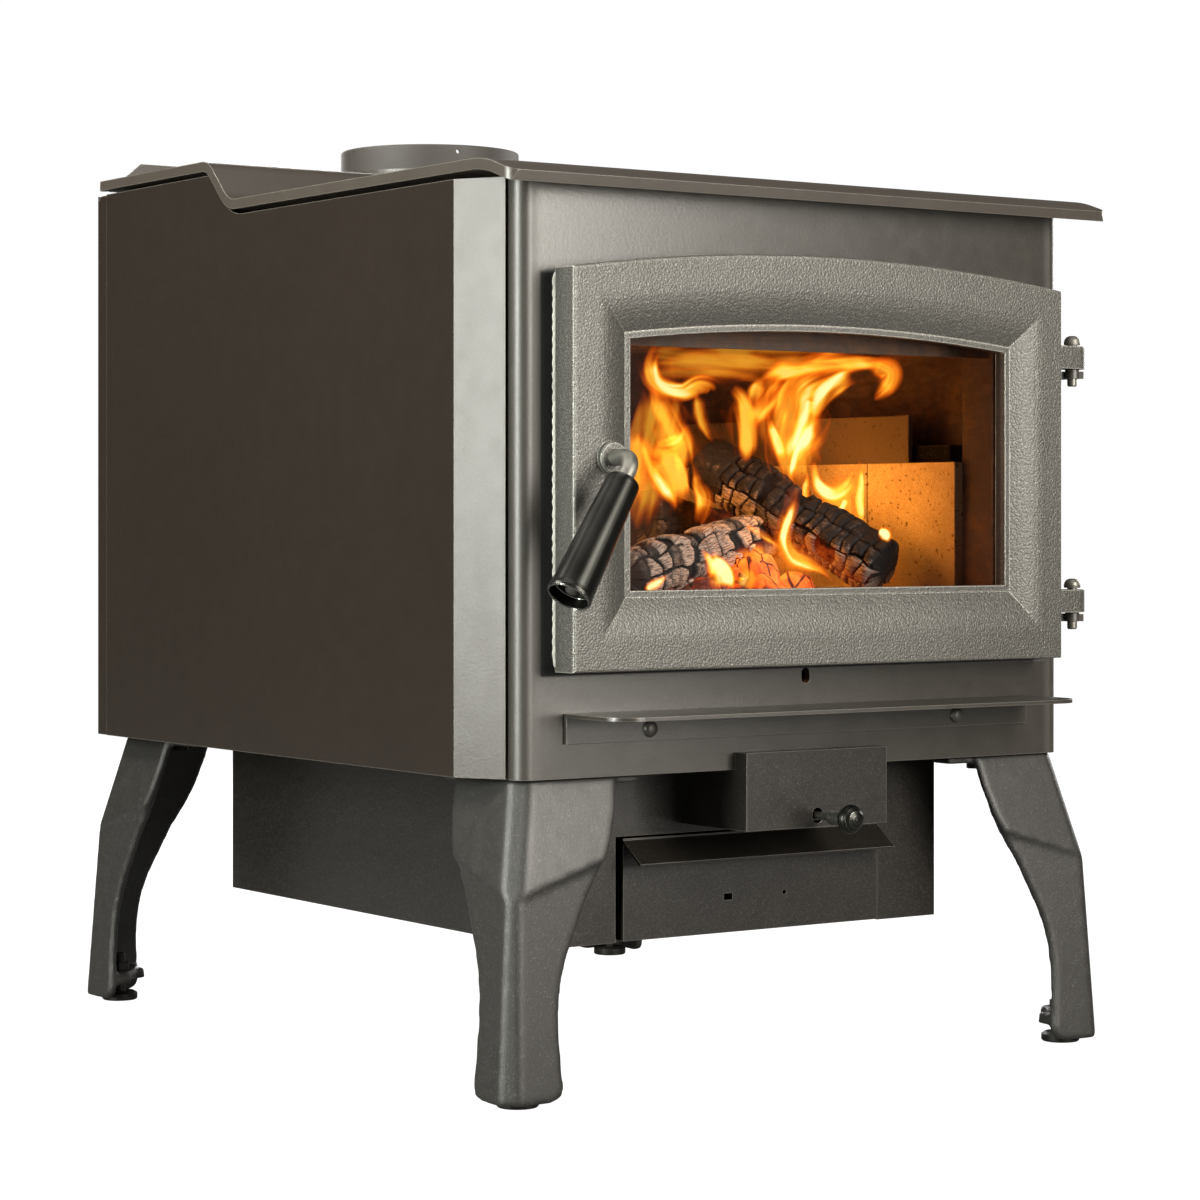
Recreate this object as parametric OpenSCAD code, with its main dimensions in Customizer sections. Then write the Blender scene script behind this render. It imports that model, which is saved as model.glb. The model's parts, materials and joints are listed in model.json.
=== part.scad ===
// Free-standing wood-burning stove on four cast legs, in millimetres.
// Origin: floor, middle of the bounding box. X to the right, Y to the back, Z up.

/* [Body] */
// Height of the body's underside above the floor
leg_h = 236; // [180:1:320]
// Half the width of the front plate
front_half = 264; // [240:1:300]
// Height of the body from its underside to the underside of the top plate
body_h = 445.1; // [400:1:520]
// Depth from the front plate's face to the back edge of the top plate
body_d = 638; // [560:1:720]
// Radius of the front plate's upright edges
front_r = 11; // [10:1:30]
// Thickness of the front plate
front_t = 6; // [4:0.5:8]
// Thickness of the firebox walls
wall_t = 6; // [4:0.5:8]
// Gap between the firebox wall and the front plate's side
side_gap = 21; // [15:1:30]

/* [Top plate] */
// Thickness of the top plate
plate_t = 8.3; // [6:0.1:10]
// How far the top plate stands out past the front plate on each side
plate_over = 27; // [25:1:40]
// Rise of the step in the top plate
step_h = 35.3; // [20:0.1:50]
// Depth of the raised rear part of the top plate, with its slope
rear_deck = 242; // [225:1:300]
// Depth of the sloping part of the step
step_run = 36; // [30:1:80]
// Reach of the drooping front lip
lip_reach = 29; // [15:1:45]
// Droop of the front lip
lip_drop = 11.8; // [6:0.1:20]

/* [Flue collar] */
// Inside radius of the collar, for a six-inch pipe
flue_r = 77.5; // [70:0.5:90]
// Wall of the collar
flue_wall = 3.5; // [2:0.5:6]
// Height of the collar
flue_h = 35.3; // [20:0.1:60]
// Distance of the collar's middle from the back edge of the top plate
flue_back = 85; // [83:1:100]

/* [Side and rear shields] */
// How far each side shield stands out past the front plate
shield_over = 24; // [20:1:26]
// Thickness of the shield sheet
shield_t = 1.5; // [1:0.1:3]
// Depth of the side shield's bevel at the front
bevel_d = 37; // [20:1:60]
// Height of the rear shield above the top plate's step
rear_up = 19.3; // [10:0.1:40]

/* [Door] */
// Gap from the door's side to the front plate's side
door_gap = 26; // [22:1:40]
// Underside of the door above the body's underside
door_low = 79; // [70:1:100]
// Height of the door at its middle
door_h = 312.6; // [260:1:330]
// Rise of the door's arched top
door_rise = 17; // [8:1:30]
// Thickness of the door casting
door_t = 28; // [22:1:34]
// Width of the door's stiles
stile_w = 55; // [45:1:70]
// Width of the door's bottom rail
rail_low_w = 59; // [45:1:75]
// Width of the door's top rail
rail_top_w = 57.6; // [45:1:75]
// Thickness of the glass
glass_t = 5; // [3:0.5:6]
// Thickness of a hinge lug
lug_t = 18.5; // [14:0.1:26]
// Distance of the hinge axis outside the front plate's edge
hinge_out = 3; // [0:0.5:6]
// Radius of the hinge pins
pin_r = 4; // [3:0.1:5]

/* [Door handle] */
// Height of the latch shaft above the body's underside
handle_up = 235.5; // [180:0.5:280]
// Radius of the latch shaft and its bent rod
rod_r = 6; // [4:0.5:7]
// Length of the grip
grip_len = 104; // [70:1:130]
// Radius of the grip at its lower end
grip_r = 16.6; // [13.5:0.1:19]
// Angle of the handle below the horizontal
handle_dip = 54; // [20:1:80]

/* [Ash lip and air control] */
// Half the width of the ash lip
lip_half = 225; // [180:1:235]
// Depth of the ash lip's ledge
ledge_d = 71; // [40:1:90]
// Half the width of the air box
air_half = 68.5; // [55:0.5:90]
// Travel of the air slide
air_travel = 24; // [10:1:24]

/* [Ash housing and drawer] */
// Half the width of the ash housing
ash_half = 190.5; // [160:0.5:200]
// Setback of the ash housing behind the front plate
ash_back = 71; // [60:1:90]
// Length of the ash housing
ash_len = 505; // [400:1:520]
// Height of the ash housing
ash_h = 135; // [110:1:150]
// Half the width of the drawer's front
drawer_half = 125.7; // [90:0.1:140]
// Height of the drawer's front
drawer_h = 79; // [60:1:85]

/* [Legs] */
// Outward step of a leg's corner from top to knee
knee_out = 20; // [5:1:24]
// Drop from the top of a leg to its knee
knee_drop = 86; // [60:1:110]
// Thickness of a leg's walls
leg_t = 7; // [5:0.5:10]
// Radius of the levelling pads
pad_r = 15.5; // [12:0.5:20]

/* [Hidden] */
$fn = 64;
z0 = leg_h;
zt = z0 + body_h + plate_t;
zu = z0 + body_h;
base_t = 6;
zb = z0 + base_t;
base_half = front_half - front_t;
base_r = front_r - front_t;
box_half = front_half - side_gap;
in_half = box_half - wall_t;
box_back = body_d - 20;
in_back = box_back - wall_t;
plate_half = front_half + plate_over;
shield_half = front_half + shield_over;
step_y = body_d - rear_deck;
knee_y = step_y + step_run;
flue_y = body_d - flue_back;
door_half = front_half - door_gap;
step_a = atan(step_h / step_run);
lip_a = atan(lip_drop / (lip_reach + 6));
rear_y = body_d + 10;
rear_step_z = zt + step_h;
dz0 = z0 + door_low;
dz1 = dz0 + door_h;
door_R = (door_half * door_half + door_rise * door_rise) / (2 * door_rise);
arch_z = dz1 - door_R;
door_f = -4 - door_t;
win_half = door_half - stile_w;
hinge_x = front_half + hinge_out;
hinge_y = -12;
lug_r = 10;
lug_lo = dz0 + 36;
lug_hi = dz0 + 234;
hx = -(win_half + 22.5);
hz = z0 + handle_up;
bend_r = 16;
bend_a = 80;
ash_low = z0 - ash_h;
draw_x = 2;
corner_x = front_half;
corner_y = 2;
leg_back = rear_y - corner_y;
knee_z = z0 - knee_drop;
foot_in = 1.5;
lean = 0.063;
ledge = 1.8;
leg_low = 3.8;
brick_t = 32;
brick_h = 232;
brick_w = 114;
brick_y = 62;
line_half = in_half - brick_t;
line_back = in_back - brick_t;
tube_r = 11;
tube_z = dz1 - 42;
grate = [80, 60];
grate_y = 300;
bend_y = -48.8;
front_edge = bend_r * sin(bend_a) - bend_y + (grip_len + 6) * cos(bend_a) + grip_r * sin(bend_a);
back_edge = leg_back + knee_out - ledge + lean * (knee_z - leg_low) - 0.25;
front_y = (front_edge - back_edge) / 2;

steel = [0.24, 0.23, 0.21];
dark = [0.17, 0.16, 0.15];
cast = [0.33, 0.33, 0.32];
brick = [0.72, 0.58, 0.42];

// Helpers: extrusions along each axis from one plane to another
module along_x(x0, x1) translate([x0, 0, 0]) rotate([90, 0, 90]) linear_extrude(x1 - x0) children();
module along_y(y0, y1) translate([0, y1, 0]) rotate([90, 0, 0]) linear_extrude(y1 - y0) children();
module along_z(a, b) translate([0, 0, a]) linear_extrude(b - a) children();
module at_front() translate([0, front_y, 0]) children();
module box(a, b) translate(a) cube(b - a);
module both_sides() {
    children();
    mirror([1, 0, 0]) children();
}

// Points of a fillet of radius r at corner b of the line a, b, c
function fillet(a, b, c, r, n = 6) = let (
    u = (a - b) / norm(a - b),
    v = (c - b) / norm(c - b),
    half = acos(u * v) / 2,
    p = b + u * r / tan(half),
    q = b + v * r / tan(half),
    o = b + (u + v) / norm(u + v) * r / sin(half),
    a0 = atan2(p.y - o.y, p.x - o.x),
    a1 = atan2(q.y - o.y, q.x - o.x),
    da = (a1 - a0 + 540) % 360 - 180)
    [for (i = [0 : n]) o + r * [cos(a0 + da * i / n), sin(a0 + da * i / n)]];

// Top plate: its section in Y and Z, bent at the lip and at the step
bend_top = 25;
lip_top = [-lip_reach, zt - lip_drop];
ridge = [6, zt];
valley = [step_y, zt];
knee = [knee_y, zt + step_h];
lip_low = lip_top + plate_t * [sin(lip_a), -cos(lip_a)];
ridge_low = ridge + plate_t * [tan(lip_a / 2), -1];
valley_low = valley + plate_t * [tan(step_a / 2), -1];
knee_low = knee + plate_t * [tan(step_a / 2), -1];
plate_top_pts = concat([lip_top], fillet(lip_top, ridge, valley, 100, 8),
    fillet(ridge, valley, knee, bend_top), fillet(valley, knee, [body_d, knee.y], bend_top),
    [[body_d, knee.y]]);
plate_low_pts = concat([[body_d, knee_low.y]],
    fillet([body_d, knee_low.y], knee_low, valley_low, bend_top - plate_t),
    fillet(knee_low, valley_low, ridge_low, bend_top + plate_t),
    fillet(valley_low, ridge_low, lip_low, 100 - plate_t, 8), [lip_low]);

module under_plate() polygon(concat(plate_low_pts, [[lip_low.x, 0], [body_d, 0]]));

module plan_corners(half, y0, y1, rf, rb) {
    translate([-half + rf, y0]) square([2 * (half - rf), y1 - y0]);
    translate([-half, y0 + rf]) square([2 * half, y1 - y0 - rf - rb]);
    for (s = [-1, 1]) {
        translate([s * (half - rf), y0 + rf]) circle(rf);
        translate([s * (half - rb), y1 - rb]) circle(rb);
    }
}

module top_plate() color(steel) at_front() difference() {
    intersection() {
        along_x(-plate_half, plate_half) polygon(concat(plate_top_pts, plate_low_pts));
        along_z(zu - 20, rear_step_z + 5) plan_corners(plate_half, -lip_reach, body_d, 10, 4);
    }
    translate([0, flue_y, zu]) cylinder(r = flue_r - 3.5, h = 80);
}

module flue_collar() color(steel) at_front() difference() {
    translate([0, flue_y, rear_step_z]) rotate_extrude() polygon([
        [flue_r - 3.5, 0], [flue_r + flue_wall, 0],
        [flue_r + flue_wall, flue_h - 1.2], [flue_r + flue_wall - 0.4, flue_h - 0.4],
        [flue_r + flue_wall - 1.2, flue_h], [flue_r + 0.8, flue_h],
        [flue_r, flue_h - 0.8], [flue_r, 3], [flue_r - 3.5, 3]]);
    for (a = [16.4, 136.4, 256.4])
        translate([0, flue_y, rear_step_z + flue_h - 6]) rotate([0, 90, a])
            cylinder(r = 1.8, h = flue_r + 20, $fn = 20);
}

// Arched outline: half width, low edge, and the radius about the door's own arch centre
module arch(half, low, r) intersection() {
    translate([-half, low]) square([2 * half, r + arch_z - low + 1]);
    translate([0, arch_z]) circle(r, $fn = 720);
}

module front_plate() color(steel) at_front() difference() {
    along_z(z0, zu - 2.9) difference() {
        union() {
            plan_corners(front_half, 0, 44, front_r, 0.5);
        }
        translate([0, front_t]) plan_corners(front_half - front_t, 0, 60, front_r - front_t, 0.5);
    }
    along_y(-1, front_t + 1) arch(door_half - 24, dz0 + 24, door_R - 24);
    along_y(-1, front_t + 1) {
        translate([0, z0 + 68]) circle(4, $fn = 32);
        translate([0, z0 + 72]) circle(4, $fn = 32);
        translate([-4, z0 + 68]) square([8, 4]);
    }
    for (s = [-1, 1]) translate([s * 150, -1, z0 + 34.5]) rotate([-90, 0, 0])
        cylinder(r = 2.6, h = front_t + 2, $fn = 24);
}

// The firebox's front edge meets the inside of the front plate's rounded edge
round_in = max(0, box_half - front_half + front_r);
fire_y = front_t + base_r - sqrt(base_r * base_r - round_in * round_in) + 0.05;
module firebox() color(dark) at_front() {
    difference() {
        along_x(-box_half, box_half) intersection() {
            under_plate();
            translate([fire_y, zb]) square([box_back - fire_y, body_h + step_h]);
        }
        along_x(-in_half, in_half) translate([front_t - 1, zb - 1])
            square([in_back - front_t + 1, body_h + step_h + 20]);
    }
    both_sides() along_z(zb, tube_z + tube_r - 1) jamb();
}
// Jamb: a folded sheet that covers the front ends of the side bricks
module jamb() polygon([[line_half + 8, 16], [line_half + 11, 16], [line_half + 11, brick_y - 3.5],
    [in_half + 1, brick_y - 3.5], [in_half + 1, brick_y - 0.5], [line_half + 8, brick_y - 0.5]]);

module base_plate() color(dark) at_front() difference() {
    along_z(z0, zb) polygon([[-base_half, front_t + base_r], [-base_half + base_r, front_t],
        [base_half - base_r, front_t], [base_half, front_t + base_r],
        [base_half, body_d + 2], [-base_half, body_d + 2]]);
    box([-grate.x + 12, grate_y - grate.y + 12, z0 - 1], [grate.x - 12, grate_y + grate.y - 12, zb + 1]);
    for (x = [-50, 4]) box([x, 28, z0 - 1], [x + 46, 46, zb + 1]);
}

// Side shield: a bent sheet with a bevel at the front, its top edge following the plate
shield_end = [front_half + 2.5, 15];
bevel_y = shield_end.y + bevel_d;
sh_in = shield_half - shield_t;
slope_off = plate_t * tan(step_a / 2) + 1.5 / sin(step_a);
shield_valley = [step_y + slope_off - 4.1 / tan(step_a), zu - 4.1];
shield_knee = [step_y + slope_off + (step_h - 3.5) / tan(step_a), zu + step_h - 3.5];
module side_shield() at_front() intersection() {
    along_z(z0 + 0.5, rear_step_z) polygon([
        [shield_half, body_d - 10], [shield_half, bevel_y], shield_end,
        shield_end + [-0.6, 1.4], [sh_in, bevel_y + 0.4], [sh_in, body_d - 10]]);
    along_x(0, shield_half + 1) polygon(concat(
        [[0, 0], [0, zu - 4.1]],
        fillet([0, zu - 4.1], shield_valley, shield_knee, 45),
        fillet(shield_valley, shield_knee, [body_d, shield_knee.y], 8),
        [[body_d, shield_knee.y], [body_d, 0]]));
}
module side_shield_right() color(dark) side_shield();
module side_shield_left() color(dark) mirror([1, 0, 0]) side_shield();

// Spacers: bent strips between the firebox and the shields
module shield_spacers() color(dark) at_front() {
    both_sides() for (y = [110, body_d - 130], z = [z0 + 70, zu - 90])
        along_z(z, z + 30) polygon([
            [box_half, y], [box_half + 2, y], [box_half + 2, y + 20], [sh_in - 2, y + 20],
            [sh_in - 2, y], [sh_in, y], [sh_in, y + 22], [box_half, y + 22]]);
    for (x = [-150, 130], z = [z0 + 70, zu - 90])
        along_z(z, z + 30) polygon([
            [x, box_back], [x + 22, box_back], [x + 22, rear_y - shield_t], [x, rear_y - shield_t],
            [x, rear_y - shield_t - 2], [x + 20, rear_y - shield_t - 2],
            [x + 20, box_back + 2], [x, box_back + 2]]);
}

module rear_shield() color(dark) at_front() {
    along_y(rear_y - shield_t, rear_y) polygon([
        [-sh_in, z0 + 0.5], [sh_in, z0 + 0.5], [sh_in, zu + step_h - 4],
        [shield_half - 29.5, zu + step_h - 4], [shield_half - 29.5, rear_step_z + rear_up - 11],
        [shield_half - 42.5, rear_step_z + rear_up], [-shield_half + 42.5, rear_step_z + rear_up],
        [-shield_half + 29.5, rear_step_z + rear_up - 11], [-shield_half + 29.5, zu + step_h - 4],
        [-sh_in, zu + step_h - 4]]);
    both_sides() along_x(sh_in - shield_t, sh_in) {
        translate([body_d - 22, z0 + 0.5]) square([32 - shield_t, body_h + step_h - 12.5]);
        translate([body_d - 22, zu + step_h - 13]) square([24, 9]);
        translate([body_d + 1, zu + step_h - 13]) circle(9);
    }
}

// Ash lip and its screws
lip_z = z0 + 48;
module ash_lip() color(steel) at_front() difference() {
    intersection() {
        along_x(-lip_half, lip_half) polygon([
            [0, z0 + 25.5], [0, lip_z], [-ledge_d, lip_z], [-ledge_d, lip_z - 3],
            [-3, lip_z - 3], [-3, z0 + 25.5]]);
        along_z(z0, lip_z + 1) plan_corners(lip_half, -ledge_d, 1, 22, 0.3);
    }
    for (s = [-1, 1]) translate([s * 150, -4, z0 + 34.5]) rotate([-90, 0, 0])
        cylinder(r = 2.6, h = 6, $fn = 24);
}
module lip_screws() color(cast) at_front() for (s = [-1, 1])
    translate([s * 150, -3, z0 + 34.5]) rotate([90, 0, 0]) rotate_extrude($fn = 32)
        polygon([[0, -front_t - 3.5], [2.5, -front_t - 3.5], [2.5, 0],
            [6.3, 0], [6.1, 1.3], [5.2, 2.8], [3.4, 3.9], [1.6, 4.3], [0, 4.4]]);

// Air box, slide, rod and knob
air_low = z0 - 46;
rod_z = z0 - 37;
module air_box() color(dark) at_front() difference() {
    along_x(-air_half, air_half) polygon([[-15, air_low], [ash_back, air_low], [ash_back, z0],
        [0, z0], [0, z0 + 13.5], [-15, z0 + 13.5]]);
    along_x(-air_half + 2, air_half - 2) polygon([[-13, air_low + 2], [ash_back + 1, air_low + 2],
        [ash_back + 1, z0 + 1], [0.5, z0 + 1], [0.5, z0 + 11.5], [-13, z0 + 11.5]]);
    along_y(-16, -12) {
        translate([0, rod_z - 1]) circle(5, $fn = 32);
        translate([0, rod_z + 1]) circle(5, $fn = 32);
        translate([-5, rod_z - 1]) square([10, 2]);
    }
    for (x = [-50, 4]) box([x, 14, air_low - 1], [x + 46, 44, air_low + 3]);
}
module air_slide() color(steel) at_front() {
    box([-60, 12, z0 - 2.3], [60, 50, z0 - 0.3]);
    difference() {
        box([-12, 30, rod_z - 6], [12, 32, z0 - 2.3]);
        translate([0, 29, rod_z]) rotate([-90, 0, 0]) cylinder(r = 2.5, h = 4, $fn = 24);
    }
}
module air_rod() color(cast) at_front() translate([0, 0, rod_z]) rotate([90, 0, 0])
    rotate_extrude($fn = 32) polygon(concat([[0, -36], [2.5, -36], [2.5, -30], [3, -30],
        [3, 31], [4.6, 31.4]],
        [for (i = [0 : 5]) each [[5.1, 32.4 + i * 2.3], [6, 33 + i * 2.3], [6, 34 + i * 2.3],
            [5.1, 34.6 + i * 2.3]]],
        [[5.1, 46.5], [0, 46.5]]));
module air_knob() color(cast) at_front() translate([0, -46.5, rod_z]) rotate([90, 0, 0])
    rotate_extrude($fn = 40) polygon([[0, 0], [5, 0], [5.2, 2], [7, 4], [10.2, 5.2],
        [11.2, 6.6], [11.3, 8.6], [10.6, 11], [9, 13.4], [6.4, 15.4], [3.2, 16.5], [0, 16.9]]);

// Ash housing with its drawer
module ash_housing() color(dark) at_front() difference() {
    box([-ash_half, ash_back, ash_low], [ash_half, ash_back + ash_len, z0]);
    box([-ash_half + 2, ash_back + 2, ash_low + 2], [ash_half - 2, ash_back + ash_len - 2, z0 + 1]);
    box([draw_x - drawer_half - 5.9, ash_back - 1, ash_low - 1],
        [draw_x + drawer_half + 2.3, ash_back + 4, ash_low + drawer_h + 2.5]);
}
module drawer_guides() color(dark) at_front() for (s = [-1, 1])
    translate([draw_x + s * (drawer_half - 5), 0, 0]) {
        box([-1, ash_back + 8, ash_low + 2], [1, ash_back + ash_len - 6, ash_low + 22]);
        box([s > 0 ? 0.9 : -13, ash_back + 8, ash_low + 2],
            [s > 0 ? 13 : -0.9, ash_back + ash_len - 6, ash_low + 4]);
    }
module ash_drawer() color(dark) at_front() translate([draw_x, 0, 0]) difference() {
    union() {
        drawer_shell();
    }
    box([-29, ash_back - 3, ash_low + 26.5], [-21, ash_back + 4, ash_low + 31.5]);
    translate([30.8, ash_back - 3, ash_low + 29]) rotate([-90, 0, 0]) cylinder(r = 1.9, h = 7, $fn = 24);
}
module drawer_shell() {
    box([-drawer_half, ash_back - 2, ash_low + 1], [drawer_half, ash_back + 1, ash_low + 1 + drawer_h]);
    difference() {
        box([-drawer_half + 8, ash_back + 0.9, ash_low + 2.2], [drawer_half - 8, ash_back + ash_len - 20, ash_low + drawer_h - 4]);
        box([-drawer_half + 9.5, ash_back + 2.4, ash_low + 3.7], [drawer_half - 9.5, ash_back + ash_len - 21.5, ash_low + drawer_h]);
    }
    along_x(-drawer_half, drawer_half) polygon([[ash_back, ash_low + 1 + drawer_h],
        [ash_back - 25, ash_low + drawer_h - 17], [ash_back - 23.9, ash_low + drawer_h - 18.6],
        [ash_back, ash_low + drawer_h - 1.5]]);
}

// Firebox floor, linings, tubes and baffle
module ash_grate() color(cast) at_front() difference() {
    box([-grate.x, grate_y - grate.y, zb], [grate.x, grate_y + grate.y, zb + 12]);
    for (x = [-56 : 16 : 56]) box([x - 3.5, grate_y - 44, zb - 1], [x + 3.5, grate_y - 4, zb + 13]);
    for (x = [-56 : 16 : 56]) box([x - 3.5, grate_y + 4, zb - 1], [x + 3.5, grate_y + 44, zb + 13]);
}
module floor_bricks() color(brick) at_front() difference() {
    for (i = [0 : 3], j = [0 : 4])
        box([-line_half + i * line_half / 2 + 0.7, 30 + j * (line_back - 30) / 5 + 0.7, zb],
            [-line_half + (i + 1) * line_half / 2 - 0.7, 30 + (j + 1) * (line_back - 30) / 5 - 0.7, zb + brick_t]);
    box([-grate.x - 1, grate_y - grate.y - 1, zb - 1], [grate.x + 1, grate_y + grate.y + 1, zb + brick_t + 1]);
}
module side_bricks() color(brick) at_front() both_sides()
    for (j = [0 : ceil((line_back - brick_y) / brick_w) - 1])
        box([line_half, brick_y + j * brick_w, zb],
            [in_half, min(brick_y + (j + 1) * brick_w - 1.2, line_back - 0.5), zb + brick_h]);
module back_bricks() color(brick) at_front() for (i = [0 : 3])
    box([-in_half + i * in_half / 2 + 0.6, line_back, zb],
        [-in_half + (i + 1) * in_half / 2 - 0.6, in_back, zb + brick_h]);
// Thin slab that stands on each row of side bricks, and the bar behind it that holds both
brick_top = zb + brick_h;
module upper_bricks() color(brick) at_front() both_sides()
    box([line_half, brick_y + 59, brick_top], [line_half + 4.5, line_back - 0.5, brick_top + 40]);
module brick_rails() color(cast) at_front() both_sides() {
    box([line_half + 7, brick_y + 14, brick_top], [in_half, line_back - 0.5, brick_top + 14.5]);
    for (y = [brick_y + 80 : 130 : line_back - 60])
        box([line_half + 4.5, y, brick_top + 3], [line_half + 8, y + 12, brick_top + 11]);
}
// Air-wash sheet that sends air down the inside of the glass, folded back to the front plate
module air_wash() color(dark) at_front() difference() {
    box([-line_half - 7, front_t, dz1 - 69.6], [line_half + 7, 30, dz1 - 3]);
    box([-line_half - 8, front_t - 1, dz1 - 70], [line_half + 8, 28, dz1 - 5]);
}
tube_pitch = (line_back - 220) / 4;
module air_tubes() color(steel) at_front() for (n = [0 : 3])
    translate([-in_half, 110 + n * tube_pitch, tube_z]) rotate([0, 90, 0]) difference() {
        cylinder(r = tube_r, h = 2 * in_half, $fn = 40);
        translate([0, 0, 4]) cylinder(r = tube_r - 1.5, h = 2 * in_half - 8, $fn = 40);
        for (i = [0 : 15]) translate([0, 0, 27 + i * (2 * in_half - 54) / 15]) rotate([0, 65, 180])
            cylinder(r = 2, h = tube_r + 4, $fn = 14);
    }
module baffle() color(brick) at_front()
    box([-in_half + 0.5, 92, tube_z + tube_r], [in_half - 0.5, in_back - 1, tube_z + tube_r + 25]);

// Door: a cast picture frame, its section sloping in to the window
module rail_2d(w, n = 8) polygon(concat([[-3, 2], [-3, door_f]],
    [for (i = [0 : n]) let (s = i / n)
        [22 + s * (w - 21), door_f + 10.5 * (1 - cos(90 * s))]],
    [[w + 1, 2]]));
edge_pts = [[0, 2.4], [0.3, 1.2], [1.2, 0.3], [2.4, 0]];
module door_outer() intersection() {
    along_z(dz0 - 2, dz1 + 2) polygon(concat([[-door_half, -4]],
        [for (p = edge_pts) [p.x - door_half, p.y + door_f]],
        [for (i = [3 : -1 : 0]) [door_half - edge_pts[i].x, edge_pts[i].y + door_f]],
        [[door_half, -4]]));
    along_x(-door_half - 2, door_half + 2) polygon(concat([[-3.9, dz0]],
        [for (p = edge_pts) [p.y + door_f, p.x + dz0]],
        [[door_f, dz1 + 3], [-3.9, dz1 + 3]]));
    translate([0, -3.8, arch_z]) rotate([90, 0, 0]) rotate_extrude($fn = 720)
        polygon(concat([[0, 0], [door_R, 0]],
            [for (p = edge_pts) [door_R - p.x, -3.8 - door_f - p.y]],
            [[0, -3.8 - door_f]]));
}
module door_frame() color(cast) at_front() difference() {
    union() {
        intersection() {
            union() {
                along_z(dz0 - 1, dz1 + 1) {
                    translate([-door_half, 0]) rail_2d(stile_w);
                    mirror([1, 0]) translate([-door_half, 0]) rail_2d(stile_w);
                }
                along_x(-door_half - 1, door_half + 1)
                    translate([0, dz0]) mirror([1, -1]) rail_2d(rail_low_w);
                translate([0, 0, arch_z]) rotate([90, 0, 0]) rotate([0, 0, 80])
                    rotate_extrude(angle = 20, $fn = 720)
                        translate([door_R, 0]) rotate(180) rail_2d(rail_top_w, 7);
            }
            door_outer();
        }
        along_y(door_f + 7.5, -6) difference() {
            arch(win_half + 4.5, dz0 + rail_low_w - 4.5, door_R - rail_top_w + 4.5);
            arch(win_half - 2, dz0 + rail_low_w + 2, door_R - rail_top_w - 2);
        }
        for (z = [lug_lo, lug_hi]) translate([0, 0, z]) {
            translate([hinge_x, hinge_y, 0]) cylinder(r = lug_r, h = lug_t);
            box([door_half - 6, hinge_y - lug_r, 0], [hinge_x, -8, lug_t]);
        }
        translate([hx, -5, hz]) rotate([90, 0, 0]) rotate_extrude()
            polygon([[0, 0], [12, 0], [12, door_t + 3.3], [10.8, door_t + 4.5], [0, door_t + 4.5]]);
    }
    for (z = [lug_lo, lug_hi])
        translate([hinge_x, hinge_y, z - 1]) cylinder(r = pin_r + 0.3, h = lug_t + 2, $fn = 40);
    translate([hx, 0, hz]) rotate([90, 0, 0]) cylinder(r = rod_r + 0.3, h = 60, $fn = 40);
    along_y(-60, 0) arch(win_half, dz0 + rail_low_w, door_R - rail_top_w);
    along_y(-13.5, 0) arch(win_half + 12, dz0 + rail_low_w - 12, door_R - rail_top_w + 12);
    along_y(-7.5, 0) difference() {
        arch(door_half + 4, dz0 - 4, door_R + 4);
        arch(door_half - 13, dz0 + 13, door_R - 13);
    }
}
module door_gasket() color([0.75, 0.74, 0.7]) at_front() along_y(-7.5, -0.3) difference() {
    arch(door_half - 0.8, dz0 + 0.8, door_R - 0.8);
    arch(door_half - 13, dz0 + 13, door_R - 13);
}
module door_glass() color([0.6, 0.6, 0.6, 0.4]) at_front() along_y(-12, -12 + glass_t)
    arch(win_half + 11, dz0 + rail_low_w - 11, door_R - rail_top_w + 11);
module glass_tape() color([0.2, 0.2, 0.2]) at_front() along_y(-13.5, -12) difference() {
    arch(win_half + 11, dz0 + rail_low_w - 11, door_R - rail_top_w + 11);
    arch(win_half + 1, dz0 + rail_low_w - 1, door_R - rail_top_w + 1);
}
module glass_retainer() color(steel) at_front() along_y(-12 + glass_t, -12 + glass_t + 2.5) difference() {
    arch(win_half + 12, dz0 + rail_low_w - 12, door_R - rail_top_w + 12);
    arch(win_half + 3, dz0 + rail_low_w - 3, door_R - rail_top_w + 3);
}

// Handle: shaft through the door, bent rod, tapered grip, end screw and latch cam
module in_handle() at_front() translate([hx, 0, hz]) rotate([0, -handle_dip, 0]) children();
module along_grip() translate([-bend_r, bend_y, 0]) rotate([0, 0, -bend_a])
    translate([bend_r, 0, 0]) rotate([90, 0, 0]) children();
module handle_rod() color(cast) in_handle() {
    translate([0, front_t + 8.5, 0]) rotate([90, 0, 0])
        cylinder(r = rod_r, h = front_t + 8.5 - bend_y);
    translate([-bend_r, bend_y, 0]) rotate([0, 0, -bend_a]) rotate_extrude(angle = bend_a)
        translate([bend_r, 0]) circle(rod_r, $fn = 40);
    translate([0, bend_y - 3, 0]) rotate([-90, 0, 0]) cylinder(r = rod_r - 2, h = 6);
    along_grip() translate([0, 0, -3]) cylinder(r = rod_r - 2, h = 6);
    along_grip() cylinder(r = rod_r, h = 8);
    along_grip() cylinder(r = 4.5, h = grip_len - 1);
}
module handle_grip() color([0.1, 0.1, 0.1]) in_handle() along_grip() translate([0, 0, 8])
    rotate_extrude() polygon([[4.5, 0], [10.6, 0], [11.8, 0.5], [12.5, 1.6], [12.8, 4],
        [grip_r - 0.4, grip_len - 6], [grip_r, grip_len - 2.6], [grip_r - 0.2, grip_len - 0.9],
        [grip_r - 0.8, grip_len], [grip_r - 1.5, grip_len], [grip_r - 2, grip_len - 0.8],
        [grip_r - 2.2, grip_len - 9], [4.5, grip_len - 9]]);
module handle_screw() color(steel) in_handle() along_grip() translate([0, 0, grip_len - 1])
    rotate_extrude($fn = 32) polygon([[0, 0], [5.4, 0], [5.3, 2.2], [4.5, 4], [2.6, 5.2], [0, 5.6]]);
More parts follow.
